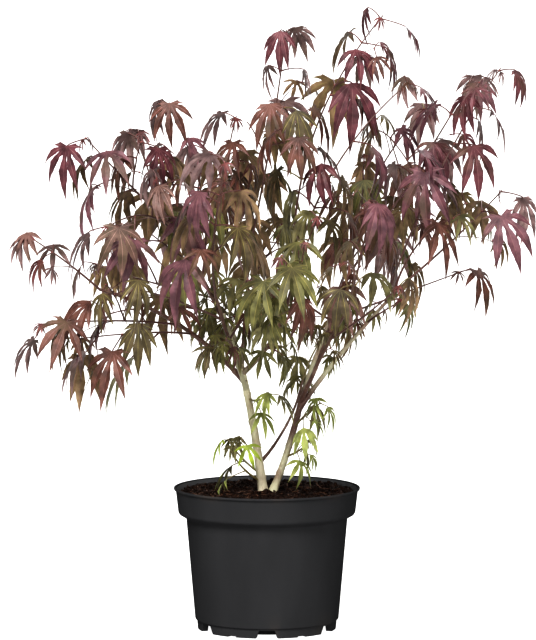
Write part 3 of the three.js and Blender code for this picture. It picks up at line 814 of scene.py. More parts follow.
def pot_plastic(settings, name, light):
    """Black moulded plastic with a soft sheen, fine grain, and a little dried soil at its foot and rim;
    light above 1 makes a lighter copy, as painted light.
    """
    shader = new_material(name)
    cloud = shader.clouds(26, detail=5, stretch=(1, 1, 0.35))
    grain = shader.clouds(1900, detail=2)
    height = shader.height()
    low = 1 - height.between(0.0, DUSTY_FOOT)
    high = height.between(*DUSTY_RIM)
    dust = (low * FOOT_DUST + high * RIM_DUST) * cloud.between(0.5, 0.72)
    # Where light is above 1, this is painted light: a lighter copy of the same plastic
    smooth = shader.tones(cloud, settings.colour, 0.85 * light, 1.2 * light)
    shader.bump(grain + cloud * 0.6, strength=0.12, distance=0.0004)
    return shader.finish(
        Base_Color=shader.mix(dust, smooth, settings.dust),
        Roughness=dust * 0.3 + cloud * 0.1 + (settings.roughness - 0.05),
        Specular_IOR_Level=0,
    )


def peat(settings):
    """Moist peat: near black, with reddish and paler specks and dry crests."""
    shader = new_material("peat")
    cloud = shader.clouds(180, detail=6)
    fine = shader.clouds(1400, detail=3)
    ground = shader.tones(cloud.between(0.35, 0.7), settings.peat, 0.6, 1.9)
    speck = fine.between(0.6, 0.72)
    shader.bump(fine + cloud, strength=0.8, distance=0.0016)
    return shader.finish(
        Base_Color=shader.mix(speck * 0.6, ground, settings.bark),
        Roughness=1 - cloud * 0.25,
        Specular_IOR_Level=0.25,
    )


def bark_bits(settings):
    """Slivers of reddish bark."""
    shader = new_material("bark_bits")
    cloud = shader.clouds(420, detail=3)
    shader.bump(cloud, strength=0.5, distance=0.0006)
    return shader.finish(Base_Color=shader.tones(cloud, settings.bark, 0.45, 1.5), Roughness=0.85)


def stem_bark(settings):
    """Smooth young bark, greenish tan with greyer patches, fine cracks and pale pores."""
    shader = new_material("stem_bark")
    patch = shader.clouds(70, detail=4, stretch=(1, 1, 0.45))
    streak = shader.clouds(700, detail=3, stretch=(1, 1, 0.16))
    pore = 1 - shader.cells(330, stretch=(1, 1, 0.55)).between(0.1, 0.24)
    foot = 1 - shader.height().between(*PALE_FOOT)
    body = shader.mix(patch.between(0.4, 0.68), settings.stem, settings.stem_shade)
    body = shader.mix(foot * 0.45, body, settings.stem_foot)
    body = shader.mix(streak.between(0.52, 0.75) * 0.5, body, shaded(settings.stem_shade, 0.7))
    shader.bump(streak * 0.6 + pore * 0.5 + patch * 0.4, strength=0.5, distance=0.0007)
    return shader.finish(
        Base_Color=shader.mix(pore * 0.55, body, settings.lenticel),
        Roughness=streak * 0.2 + 0.52,
        Specular_IOR_Level=0.35,
    )


def bough_bark(settings, name, low, high, lightness, foot):
    """Younger bark: tan up to a height, turning red-brown by another, with paler weathered streaks."""
    shader = new_material(name)
    patch = shader.clouds(55, detail=4)
    streak = shader.clouds(800, detail=3, stretch=(1, 1, 0.4))
    pore = 1 - shader.cells(420).between(0.08, 0.2)
    rise = (shader.height() + patch * 0.05).between(low, high)
    above_foot = shader.height().between(foot - LOWER_BROWN_BLEND, foot + LOWER_BROWN_BLEND)
    tan = (1 - rise) * above_foot
    body = shader.mix(tan, settings.bough, shaded(settings.stem, lightness))
    body = shader.mix(patch.between(0.48, 0.68) * 0.75, body, settings.bough_light)
    shader.bump(streak * 0.7 + pore * 0.5, strength=0.45, distance=0.0005)
    return shader.finish(
        Base_Color=shader.mix(pore * 0.4, body, settings.lenticel),
        Roughness=streak * 0.2 + 0.42,
        Specular_IOR_Level=0.45,
    )


def cut_wood(settings):
    """The sawn end of a stub."""
    shader = new_material("cut_wood")
    ring = shader.clouds(900, detail=3)
    shader.bump(ring, strength=0.4, distance=0.0004)
    return shader.finish(Base_Color=shader.tones(ring, settings.lenticel, 0.8, 1.4), Roughness=0.8)


def leaf_tint(name, colour, flush, roughness, sheen):
    """One side of a leaf: a tint with faint clouds in it, a flush of another, and shallow puckers."""
    shader = new_material(name)
    cloud = shader.clouds(75, detail=4)
    wide = shader.clouds(24, detail=2)
    fine = shader.clouds(620, detail=3)
    body = shader.tones(cloud.between(0.3, 0.7), colour, 0.56, 1.44)
    shader.bump(fine * 0.6 + cloud, strength=0.45, distance=0.0011)
    return shader.finish(
        Base_Color=shader.mix(wide.between(0.5, 0.7) * 0.5, body, flush),
        Roughness=fine * 0.16 + roughness,
        Specular_IOR_Level=0.3,
        Sheen_Weight=sheen,
        Sheen_Roughness=0.45,
    )


def twig_material(name, colour):
    """Thin bark or a stalk's skin."""
    shader = new_material(name)
    cloud = shader.clouds(160, detail=3)
    shader.bump(shader.clouds(1500, detail=2), strength=0.3, distance=0.0003)
    base = shader.tones(cloud, colour, 0.65, 1.35)
    return shader.finish(Base_Color=base, Roughness=cloud * 0.15 + 0.4)


def floor_material():
    """Plain floor that glows a little, so that it looks white."""
    shader = new_material("floor")
    cloud = shader.clouds(3, detail=2)
    return shader.finish(
        Base_Color=shader.tones(cloud, FLOOR_GREY, 0.96, 1.04),
        Emission_Color=(1, 1, 1),
        Emission_Strength=0.6,
        Roughness=0.9,
        Specular_IOR_Level=0.1,
    )


# Meshes


def placed(name, data):
    """A new object in the scene."""
    made = bpy.data.objects.new(name, data)
    bpy.context.scene.collection.objects.link(made)
    return made


def mesh_from(work, name):
    """A mesh from the shapes that were worked out in bmesh."""
    mesh = bpy.data.meshes.new(name)
    work.to_mesh(mesh)
    work.free()
    return mesh


def circle(radius, sides):
    """Places spaced evenly round the middle."""
    turns = [2 * math.pi * i / sides for i in range(sides)]
    return [(radius * math.cos(turn), radius * math.sin(turn)) for turn in turns]


def tube_faces(rings, sides):
    """The faces between rings of that many points each."""
    faces = []
    for j in range(rings - 1):
        for i in range(sides):
            k = (i + 1) % sides
            faces.append((j * sides + i, j * sides + k, (j + 1) * sides + k, (j + 1) * sides + i))
    return faces


def piece_from(name, points, faces, materials, marks, sharp=SHARP_TURN):
    """A mesh object from points in millimetres, its faces, and which material each face takes."""
    mesh = bpy.data.meshes.new(name)
    mesh.from_pydata((np.asarray(points, float) * MM).tolist(), [], faces)
    for material in materials:
        mesh.materials.append(material)
    mesh.polygons.foreach_set("material_index", np.asarray(marks, np.int32))
    mesh.polygons.foreach_set("use_smooth", np.ones(len(faces), bool))
    mesh.validate()
    mesh.set_sharp_from_angle(angle=math.radians(sharp))
    mesh.update()
    return placed(name, mesh)


def welded(piece, distance=2e-6):
    """Joins points that lie together, and drops faces that have no area."""
    work = bmesh.new()
    work.from_mesh(piece.data)
    bmesh.ops.remove_doubles(work, verts=work.verts, dist=distance)
    bmesh.ops.dissolve_degenerate(work, edges=work.edges, dist=distance)
    work.to_mesh(piece.data)
    work.free()


class Heap:
    """Points and faces of many small shapes that are joined into one piece."""

    def __init__(self):
        self.points = []
        self.faces = []
        self.marks = []
        self.count = 0

    def add(self, points, faces, marks):
        """Adds one shape. Marks are material numbers, one for each face or one for all."""
        self.points.append(np.asarray(points, float))
        self.faces.extend([tuple(int(i) + self.count for i in face) for face in faces])
        self.marks.extend([marks] * len(faces) if isinstance(marks, int) else marks)
        self.count += len(points)

    def piece(self, name, materials):
        """The one piece that all the shapes make."""
        return piece_from(name, np.vstack(self.points), self.faces, materials, self.marks)


def settle(piece, nodes):
    """Puts a piece in place of its nodes, on the one body."""
    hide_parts(*nodes)
    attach(piece, "root")


def softened(profile, reach, steps=3):
    """A profile with each of its inner corners rounded from that far before it to that far after it."""
    corners = [Vector(p) for p in profile]
    points = [corners[0]]
    for before, corner, after in zip(corners, corners[1:], corners[2:]):
        room = min(reach, (corner - before).length / 2.2, (after - corner).length / 2.2)
        start = corner + (before - corner).normalized() * room
        end = corner + (after - corner).normalized() * room
        for i in range(steps + 1):
            t = i / steps
            points.append(start.lerp(corner, t).lerp(corner.lerp(end, t), t))
    points.append(corners[-1])
    return points


# Pot


def foot_height(turn):
    """How high the foot ring's underside is at an angle round the pot."""
    sector = 360 / CHANNELS
    off = abs((turn + 90 + sector / 2) % sector - sector / 2)
    arc = math.radians(off) * BASE_RADIUS
    top, foot = CHANNEL_TOP_WIDTH / 2, CHANNEL_FOOT_WIDTH / 2
    if arc < foot:
        return HOLLOW_HEIGHT * min(1.0, (foot - arc) / (foot - top))
    return NOTCH_HEIGHT if (sector / 2 - off) * math.radians(BASE_RADIUS) < NOTCH_WIDTH / 2 else 0.0


def pot_angles():
    """Even steps round the pot, with the edges of each channel and notch added."""
    sector = 360 / CHANNELS
    angles = set(np.arange(0, 360, POT_STEP_DEGREES))
    edge = math.degrees(1 / BASE_RADIUS)
    for i in range(CHANNELS):
        middle = i * sector - 90
        for half in (CHANNEL_TOP_WIDTH / 2, CHANNEL_FOOT_WIDTH / 2):
            angles.update(((middle + side * half * edge) % 360) for side in (-1, 1))
        for past in NOTCH_EDGES:
            half = NOTCH_WIDTH / 2 + past
            angles.update(((middle + sector / 2 + side * half * edge) % 360) for side in (-1, 1))
    return sorted(angles)


def pot_profile(reach):
    """Points up the outside of the pot from its crease, over the lip, and down the inside."""
    corners = [
        (BASE_RADIUS + BASE_LEAN, CREASE - 1),
        (BODY_FOOT_RADIUS, CREASE),
        (BODY_TOP_RADIUS, BODY_TOP),
        (COLLAR_FOOT_RADIUS - 1, COLLAR_FOOT - 1),
        (COLLAR_FOOT_RADIUS, COLLAR_FOOT + 1),
        (COLLAR_TOP_RADIUS, POT_HEIGHT - LIP_DEPTH - 1),
        (LIP_RADIUS, POT_HEIGHT - LIP_DEPTH),
        (LIP_RADIUS, POT_HEIGHT),
        (LIP_RADIUS - LIP_WALL, POT_HEIGHT),
        (COLLAR_FOOT_RADIUS - WALL, COLLAR_FOOT + 2 * WALL),
        (BODY_TOP_RADIUS - WALL, BODY_TOP + WALL),
        (BODY_FOOT_RADIUS - WALL, CREASE + 2 * WALL),
        (BASE_RADIUS - WALL, HOLLOW_HEIGHT + WALL),
        (HOLLOW_INNER - WALL, HOLLOW_HEIGHT + WALL),
        (HOLLOW_INNER - 2 * WALL, WALL),
    ]
    return softened(corners, reach)


def make_pot(settings):
    """The pot's wall, turned from its profile, with its hollow, channels, notches and drain holes."""
    angles = pot_angles()
    profile = pot_profile(settings.corner / MM)
    points = []
    for turn in angles:
        foot = foot_height(turn)
        lean = BASE_LEAN * foot / (CREASE - 1)
        column = [
            (HOLLOW_INNER, 0),
            (HOLLOW_INNER, HOLLOW_HEIGHT),
            (HOLLOW_OUTER, HOLLOW_HEIGHT),
            (HOLLOW_OUTER, foot),
            (BASE_RADIUS + lean, foot),
            *profile,
        ]
        ray = (math.cos(math.radians(turn)), math.sin(math.radians(turn)))
        points.extend((r * ray[0], r * ray[1], z) for r, z in column)
    rows = len(points) // len(angles)
    faces = []
    for i in range(len(angles)):
        a, b = i * rows, (i + 1) % len(angles) * rows
        faces.extend((a + j, b + j, b + j + 1, a + j + 1) for j in range(rows - 1))
    faces.append([i * rows for i in reversed(range(len(angles)))])
    faces.append([i * rows + rows - 1 for i in range(len(angles))])
    inside = [int(j >= INNER_WALL_ROW) for j in range(rows - 1)]
    marks = inside * len(angles) + [0, 0]
    # Painted light: a lighter copy of the plastic for the inner wall, where the lamps fall on it
    inner = pot_plastic(settings, "pot_inner_wall", INNER_WALL_PAINTED_LIGHT)
    materials = [pot_plastic(settings, "pot_plastic", 1), inner]
    pot = piece_from("nursery_pot", points, faces, materials, marks, POT_SHARP)
    welded(pot)
    drill(pot, drain_holes())
    pot.data.set_sharp_from_angle(angle=math.radians(POT_SHARP))
    settle(pot, ["pot"])


def drain_holes():
    """Square plugs, one half way between each two channels."""
    work = bmesh.new()
    middle = (HOLLOW_INNER + HOLLOW_OUTER) / 2
    size = Matrix.Diagonal((DRAIN_HOLE, DRAIN_HOLE, 4 * WALL, 1))
    for i in range(CHANNELS):
        turn = Matrix.Rotation(math.radians((i + 0.5) * 360 / CHANNELS - 90), 4, "Z")
        place = turn @ Matrix.Translation((middle, 0, HOLLOW_HEIGHT + WALL / 2)) @ size
        bmesh.ops.create_cube(work, size=1, matrix=Matrix.Scale(MM, 4) @ place)
    return placed("drain_plugs", mesh_from(work, "drain_plugs"))


def drill(piece, plugs):
    """Cuts the plugs out of a piece."""
    cut = piece.modifiers.new("drill", "BOOLEAN")
    cut.object = plugs
    cut.solver = "EXACT"
    shape = piece.evaluated_get(bpy.context.evaluated_depsgraph_get())
    mesh = bpy.data.meshes.new_from_object(shape)
    piece.modifiers.clear()
    piece.data = mesh
    bpy.data.objects.remove(plugs)


# Potting mix


def mix_height(x, y):
    """The height of the potting mix at a place."""
    swell = math.sin(LONG_LUMP["along_x"] * x + LONG_LUMP["shift"]) * math.cos(LONG_LUMP["along_y"] * y)
    ripple = math.sin(SHORT_LUMP["along_x"] * x + SHORT_LUMP["along_y"] * y)
    far = math.hypot(x - MOUND_PLACE[0], y - MOUND_PLACE[1]) / MOUND_RADIUS
    clods = sum(noise.noise(Vector((x, y, layer)) * waves) * height for layer, waves, height in CLODS)
    level = MIX_LEVEL + LONG_LUMP["height"] * swell + SHORT_LUMP["height"] * ripple
    return level + MOUND_HEIGHT * math.exp(-far * far) + clods


def make_mix(settings):
    """The bed of the mix, its loose crumbs, and slivers of bark."""
    floor_radius = HOLLOW_INNER - 2 * WALL - CLEARANCE
    step = HOLLOW_HEIGHT + WALL + CLEARANCE
    wall = [
        (0, WALL + CLEARANCE),
        (floor_radius, WALL + CLEARANCE),
        (HOLLOW_INNER - WALL - CLEARANCE, step),
        (BASE_RADIUS - WALL - CLEARANCE, step),
        (BODY_FOOT_RADIUS - WALL - CLEARANCE, CREASE + 2 * WALL),
        (BODY_TOP_RADIUS - WALL - CLEARANCE, BODY_TOP + WALL),
        (COLLAR_FOOT_RADIUS - WALL - CLEARANCE, COLLAR_FOOT + 2 * WALL),
        (MIX_EDGE_RADIUS, MIX_LEVEL - MIX_EDGE_DROP),
    ]
    level_radii = np.arange(MIX_EDGE_RADIUS - FIRST_MIX_RING, 0.5, -MIX_RING_STEP)
    points = []
    for radius, level in [*wall, *((radius, None) for radius in level_radii), (0, None)]:
        for x, y in circle(radius, MIX_SIDES):
            points.append((x, y, mix_height(x, y) if level is None else level))
    faces = tube_faces(len(points) // MIX_SIDES, MIX_SIDES)
    material = peat(settings)
    bed = piece_from("mix_bed", points, faces, [material], [0] * len(faces), 180)
    welded(bed)
    settle(bed, ["potting_mix"])
    settle(scatter_crumbs(settings, material), ["potting_mix"])
    settle(scatter_slivers(settings), ["potting_mix"])


def scattered_place(draws, edge):
    """A random place on the mix, and its height there."""
    radius = edge * math.sqrt(draws.random())
    turn = draws.random() * 2 * math.pi
    x, y = radius * math.cos(turn), radius * math.sin(turn)
    return np.array((x, y, mix_height(x, y)))


def random_turn(draws):
    """A rotation matrix, any way up."""
    axis = draws.normal(size=3)
    return np.array(Matrix.Rotation(draws.random() * 2 * math.pi, 3, Vector(axis)))


def scatter_crumbs(settings, material):
    """Lumps of peat half sunk in the bed, mostly small."""
    draws = np.random.default_rng(CRUMB_SEED)
    ball = bmesh.new()
    bmesh.ops.create_icosphere(ball, subdivisions=1, radius=1)
    shape = np.array([v.co for v in ball.verts])
    faces = [[v.index for v in f.verts] for f in ball.faces]
    ball.free()
    heap = Heap()
    largest = settings.crumb_size / MM / 2
    for _ in range(settings.crumbs):
        size = largest * (SMALLEST_CRUMB + (1 - SMALLEST_CRUMB) * draws.random() ** 4)
        rough = 1 + CRUMB_ROUGHNESS * (draws.random((len(shape), 1)) - 0.5)
        lump = shape * rough * draws.uniform(*CRUMB_SQUASH, 3)
        place = scattered_place(draws, MIX_EDGE_RADIUS - CRUMB_EDGE) + (0, 0, size / 4)
        heap.add(lump @ random_turn(draws).T * size + place, faces, 0)
    return heap.piece("mix_crumbs", [material])


def scatter_slivers(settings):
    """Thin bent slivers of bark and root that lie on the mix."""
    draws = np.random.default_rng(SLIVER_SEED)
    heap = Heap()
    ends = [(3, 2, 1, 0), (12, 13, 14, 15)]
    faces = ends + tube_faces(len(SLIVER_MARKS), 4)
    for _ in range(settings.slivers):
        length = draws.uniform(*SLIVER_LENGTHS)
        thick = draws.uniform(*SLIVER_THICKNESSES)
        turn = draws.random() * 2 * math.pi
        tilt = draws.uniform(-SLIVER_TILT, SLIVER_TILT)
        ahead = np.array((math.cos(turn), math.sin(turn), math.sin(tilt)))
        aside = np.array((-math.sin(turn), math.cos(turn), 0))
        place = scattered_place(draws, MIX_EDGE_RADIUS - SLIVER_EDGE) + (0, 0, thick * 0.8)
        bend = draws.uniform(-SLIVER_BEND, SLIVER_BEND) * length
        points = []
        for t in SLIVER_MARKS:
            middle = place + ahead * length * t + aside * bend * (0.25 - t * t)
            half = thick * (1.15 - abs(t))
            for across, up in ((-1, -1), (1, -1), (1, 1), (-1, 1)):
                points.append(middle + aside * half * across + np.array((0, 0, half * 0.6 * up)))
        heap.add(points, faces, 0)
    return heap.piece("mix_slivers", [bark_bits(settings)])


# Limbs


class Stem:
    """A limb, shoot or twig: a curve, a level direction square to its heading, and a taper."""

    def __init__(self, root, length, heading, rise, arch, sweep, radii):
        turn, climb = math.radians(heading), math.radians(rise)
        level = math.cos(climb)
        along = Vector((level * math.cos(turn), level * math.sin(turn), math.sin(climb)))
        self.side = Vector((-math.sin(turn), math.cos(turn), 0))
        over = along.cross(self.side)
        tip = root + along * length
        bend = (root + tip) / 2 + over * 2 * arch + self.side * 2 * sweep
        self.marks = (root, bend, tip)
        self.length = length
        self.radii = radii

    def point(self, t):
        """The place on the middle line at t, from 0 at the root to 1 at the tip."""
        root, bend, tip = self.marks
        return root * (1 - t) ** 2 + bend * 2 * t * (1 - t) + tip * t * t

    def tangent(self, t):
        """The way the stem runs at t."""
        root, bend, tip = self.marks
        return ((bend - root) * (1 - t) + (tip - bend) * t).normalized()

    def radius(self, t):
        """Half the stem's thickness at t."""
        return self.radii[0] + (self.radii[1] - self.radii[0]) * t

    def square(self, t, turn):
        """The direction square to the stem at t, turned round it by an angle in degrees."""
        tangent = self.tangent(t)
        across = (self.side - tangent * self.side.dot(tangent)).normalized()
        angle = math.radians(turn)
        return across * math.cos(angle) + tangent.cross(across) * math.sin(angle)


def plan_limbs():
    """Each limb by its name, started on the middle line of the one it grows on."""
    limbs = {}
    for name, on, at, length, heading, rise, arch, sweep, *radii in LIMB_ROWS:
        root = limbs[on].point(at) if on in limbs else Vector((on, 0, MIX_LEVEL + CLEARANCE))
        limbs[name] = Stem(root, length, heading, rise, arch, sweep, radii)
    return limbs


def rings_along(centres, radii, sides, start_side, relief=None):
    """Points and faces of a closed tube through centres; relief says how far it stands out in places."""
    points = []
    across = start_side
    for j, (centre, radius) in enumerate(zip(centres, radii)):
        before, after = centres[max(j - 1, 0)], centres[min(j + 1, len(centres) - 1)]
        tangent = (after - before).normalized()
        across = (across - tangent * across.dot(tangent)).normalized()
        other = tangent.cross(across)
        for i in range(sides):
            angle = 2 * math.pi * i / sides
            wide = radius * (relief(j, angle) if relief else 1)
            points.append(centre + (across * math.cos(angle) + other * math.sin(angle)) * wide)
    faces = tube_faces(len(centres), sides)
    last = (len(centres) - 1) * sides
    faces.append(tuple(reversed(range(sides))))
    faces.append(tuple(range(last, last + sides)))
    return [tuple(p) for p in points], faces


def joints_along(name, stem):
    """How far along a limb each of its joints stands, in millimetres."""
    draws = np.random.default_rng(len(name) * LIMB_SEED + round(stem.length))
    joints = []
    at = draws.uniform(*FIRST_JOINT)
    while at < stem.length - LAST_JOINT:
        joints.append(at)
        at += draws.uniform(*JOINT_GAPS)
    return joints


def limb_mesh(name, stem, settings, from_ground, domed):
    """One limb with joints, ridges, a slight zigzag, and a swollen root."""
    count = round(stem.length / (settings.ring_step / MM))
    joints = joints_along(name, stem)
    flare = STEM_FLARE if from_ground else BOUGH_FLARE
    centres, radii, lengths = [], [], []
    for j in range(count + 1):
        t = j / count
        run = t * stem.length
        passed = sum(1 for joint in joints if joint < run)
        before = joints[passed - 1] if passed else 0
        after = joints[passed] if passed < len(joints) else stem.length
        way = (1 if passed % 2 else -1) * JOINT_KINK
        kink = math.sin(math.pi * min(1, (run - before) / (after - before))) * way
        swell = sum(math.exp(-((run - joint) / JOINT_HALF_LENGTH) ** 2) for joint in joints) * JOINT_SWELL
        root = flare * math.exp(-run / FLARE_HEIGHT)
        radii.append(stem.radius(t) * (1 + swell) + root)
        centres.append(stem.point(t) + stem.side * kink * min(1, run / KINK_START))
        lengths.append(run)
    if from_ground:
        centres.insert(0, stem.point(0) + DOWN * STEM_DEPTH)
        radii.insert(0, radii[0] * SUNK_WIDTH)
        lengths.insert(0, 0)
    if domed:
        for past, share in TIP_DOME:
            centres.append(stem.point(1) + stem.tangent(1) * stem.radius(1) * past)
            radii.append(stem.radius(1) * share)
            lengths.append(stem.length)

    def relief(j, angle):
        """How far the bark stands out at a ring and angle: ridges, cracks and the spread of the roots."""
        run = lengths[j]
        place = Vector((math.cos(angle) * RIDGES_ROUND, math.sin(angle) * RIDGES_ROUND, run * RIDGES_ALONG))
        ridge = noise.noise(place + Vector((stem.length, 0, 0))) * settings.relief
        fine = Vector((place.x * CRACKS_ROUND, place.y * CRACKS_ROUND, run * CRACKS_ALONG))
        crack = noise.noise(fine) * settings.relief * CRACK_SHARE
        spread = ROOT_SPREAD * math.exp(-run / FLARE_HEIGHT) if from_ground else 0
        return 1 + ridge + crack + math.cos(angle * ROOTS + ROOT_TURN) * spread

    return rings_along(centres, radii, settings.sides, stem.side, relief)


def make_limbs(settings, limbs):
    """The stems, boughs and stubs, one piece each."""
    tan = stem_bark(settings)
    browns = {}
    for key, heights in BROWN_FROM.items():
        browns[key] = bough_bark(settings, key + "_bough_bark", *heights)
    cut = cut_wood(settings)
    for name, stem in limbs.items():
        from_ground = name.endswith("_stem")
        stub = name.endswith("_stub")
        points, faces = limb_mesh(name, stem, settings, from_ground, not stub)
        marks = [0] * len(faces)
        marks[-1] = 1 if stub else 0
        bark = tan if name == "left_stem" or stub else browns[BROWN_KINDS.get(name, "usual")]
        piece = piece_from(name + "_wood", points, faces, [bark, cut], marks, LIMB_SHARP)
        settle(piece, [name])


# Shoots


def seeded_draws(seed):
    """Random numbers from 0 to 1 that are the same each time for one seed."""
    factor, shift, span = 1664525, 1013904223, 2**32
    state = seed
    skipped = 3

    def draw():
        nonlocal state
        state = (state * factor + shift) % span
        return state / span

    for _ in range(skipped):
        draw()
    return draw


class Leaf:
    """Where one leaf's stalk runs and how the leaf hangs at its end."""

    def __init__(self, stem, t, turn, size, draw):
        tangent = stem.tangent(t)
        self.root = stem.point(t)
        self.size = size
        self.stalk = size * (SHORTEST_STALK + STALK_JITTER * draw())
        self.stalk *= min(1, size / LONG_STALK_SIZE) * (1 - TIP_STALK_SHRINK * t)
        hang = math.radians(HANG_LEAST + HANG_RANGE * draw())
        twist = math.radians((draw() - 0.5) * TWIST_RANGE)
        self.spread = SPREAD_LEAST + (1 - SPREAD_LEAST) * draw()
        self.cup = math.radians(CUP_LEAST + CUP_RANGE * draw())
        out = stem.square(t, turn) * STALK_SQUARE + tangent * STALK_ONWARD + UP * STALK_UPWARD
        self.out = out.normalized()
        outward = Vector((self.root.x, self.root.y, 0)).normalized()
        level = (Vector((self.out.x, self.out.y, 0)) + outward * OUTWARD_PULL).normalized()
        reach = self.out * STALK_REACH + level * STALK_BEND + DOWN * STALK_SAG
        self.heel = self.root + reach * self.stalk
        self.along = level * math.sin(hang) + DOWN * math.cos(hang)
        face = level * math.cos(hang) + UP * math.sin(hang)
        self.face = Matrix.Rotation(twist, 3, self.along) @ face
        self.heart = self.heel + self.along * LEAF_HEART * size

    def outline(self, stretch):
        """A few triangles over the blade, to test it for touching."""
        left = self.face.cross(self.along)
        size = self.size * stretch
        points = [self.heel]
        for angle, length in zip(LOBE_ANGLES[1:-1], LOBE_LENGTHS[1:-1]):
            turn = math.radians(angle) * self.spread
            ahead = self.along * math.cos(turn) + left * math.sin(turn)
            for reach, aside in ((LOBE_WIDEST, -1), (1, 0), (LOBE_WIDEST, 1)):
                droop = self.cup * reach * length
                point = self.heel + ahead * size * reach * length * math.cos(droop)
                point -= self.face * size * reach * length * math.sin(droop)
                width = aside * size * LOBE_HALF_WIDTH * length
                points.append(point + self.face.cross(ahead) * width)
        faces = [(0, 3 * i + 1, 3 * i + 2) for i in range(5)]
        faces += [(0, 3 * i + 2, 3 * i + 3) for i in range(5)]
        return points, faces


def plan_pairs(stem, pairs, first, size, roll, draw):
    """The pairs of leaves up one stem, each pair turned a quarter round from the last and smaller."""
    leaves = []
    for k in range(pairs):
        t = first + (LAST_PAIR - first) * k / (pairs - 1) if pairs > 1 else LAST_PAIR
        turn = roll + PAIR_TURN * k + PAIR_JITTER * (draw() - 0.5)
        pair_size = size * (1 - TIP_SHRINK * t) * (1 + SIZE_JITTER * (draw() - 0.5))
        leaves.append(Leaf(stem, t, turn, pair_size, draw))
        leaves.append(Leaf(stem, t, turn + 180, pair_size, draw))
    return leaves


def side_twig(shoot, t, turn, reach, radii):
    """A twig that leaves a shoot at t, part square off it and part onward."""
    ahead = (shoot.square(t, turn) * TWIG_SQUARE + shoot.tangent(t) * TWIG_ONWARD).normalized()
    heading = math.degrees(math.atan2(ahead.y, ahead.x))
    rise = math.degrees(math.asin(ahead.z))
    return Stem(shoot.point(t), reach, heading, rise, reach * TWIG_ARCH, 0, radii)


class Shoot:
    """One leafy shoot: its stem, its twigs, its leaves, and the line that its leaves hang about."""

    def __init__(self, limbs, row, index):
        name, on, at, length, heading, rise, arch, sweep, pairs, twigs, size, colour, roll = row
        host = limbs[on]
        self.name, self.host, self.colour = name, on, colour
        root = self.root_on(host, at, (length, heading, rise, arch, sweep))
        self.stem = Stem(root, length, heading, rise, arch, sweep, SHOOT_RADII)
        draw = seeded_draws(SEED_STEP * (index + 1))
        self.leaves = plan_pairs(self.stem, pairs, FIRST_PAIR, size, roll, draw)
        self.twigs = []
        for i in range(twigs):
            reach = min(length * TWIG_SHARE, LONGEST_TWIG) * (TWIG_LEAST + TWIG_RANGE * draw())
            turn = roll + FIRST_TWIG_TURN + TWIG_TURN * i
            twig = side_twig(self.stem, FIRST_TWIG + TWIG_SPACING * i, turn, reach, TWIG_RADII)
            self.twigs.append(twig)
            self.leaves += plan_pairs(twig, TWIG_PAIRS, TWIG_FIRST_PAIR, size * TWIG_LEAF_SHARE, roll, draw)
        self.grow_finer(length, size, roll, seeded_draws(SEED_STEP * (index + 1) + FINE_SEED))
        if colour == "green":
            for leaf in self.leaves:
                leaf.size *= GREEN_LEAF_SHARE
        self.leaves.sort(key=lambda leaf: leaf.heart.z)
        self.leaves = self.leaves[round(len(self.leaves) * SHED.get(name, 0)) :]
        for leaf in self.leaves:
            if leaf.root.z > HIGH_ROOT:
                leaf.size *= HIGH_LEAF_SHARE
        self.hang_line = [self.stem.point(t) + DOWN * LEAF_HEART * size for t in HANG_MARKS]

    def root_on(self, host, at, shape):
        """A point just clear of the limb: beyond its tip, or square off its side."""
        middle, tangent = host.point(at), host.tangent(at)
        aim = Stem(middle, *shape, SHOOT_RADII).tangent(0)
        if at == 1:
            lean = math.sqrt(max(0, 1 - aim.dot(tangent) ** 2))
            return middle + tangent * (CLEARANCE + lean * SHOOT_RADII[0])
        square = (aim - tangent * aim.dot(tangent)).normalized()
        return middle + square * (host.radius(at) + CLEARANCE)

    def grow_finer(self, length, size, roll, draw):
        """Thin side twigs with smaller leaves, between the pairs, and a pair of new leaves at the tip."""
        self.fine_twigs = []
        self.spur_leaves = []
        green = self.colour == "green"
        count = int(length / (GREEN_TWIG_SPACING if green else FINE_TWIG_SPACING))
        for i in range(count):
            t = FIRST_FINE_TWIG + FINE_TWIG_REACH * (i + 0.5 * draw()) / count
            share = GREEN_TWIG_SHARE if green else FINE_TWIG_SHARE
            reach = min(length * share, LONGEST_FINE_TWIG) * (FINE_TWIG_LEAST + FINE_TWIG_RANGE * draw())
            turn = roll + TWIG_TURN * (i + 1) + FINE_TWIG_TURN
            twig = side_twig(self.stem, t, turn, reach, FINE_RADII)
            self.fine_twigs.append(twig)
            self.leaves += plan_pairs(twig, 1, 1, size * FINE_LEAF_SHARE, roll, draw)
        tips = [self.stem, *self.twigs]
        self.new_leaves = []
        for tip, new_size in zip(tips, TIP_LEAF_SIZES):
            self.new_leaves += plan_pairs(tip, 1, 1, new_size, roll + TIP_LEAF_TURN, draw)


def drawn(least_and_most, draw):
    """A random size between two."""
    least, most = least_and_most
    return least + (most - least) * draw()


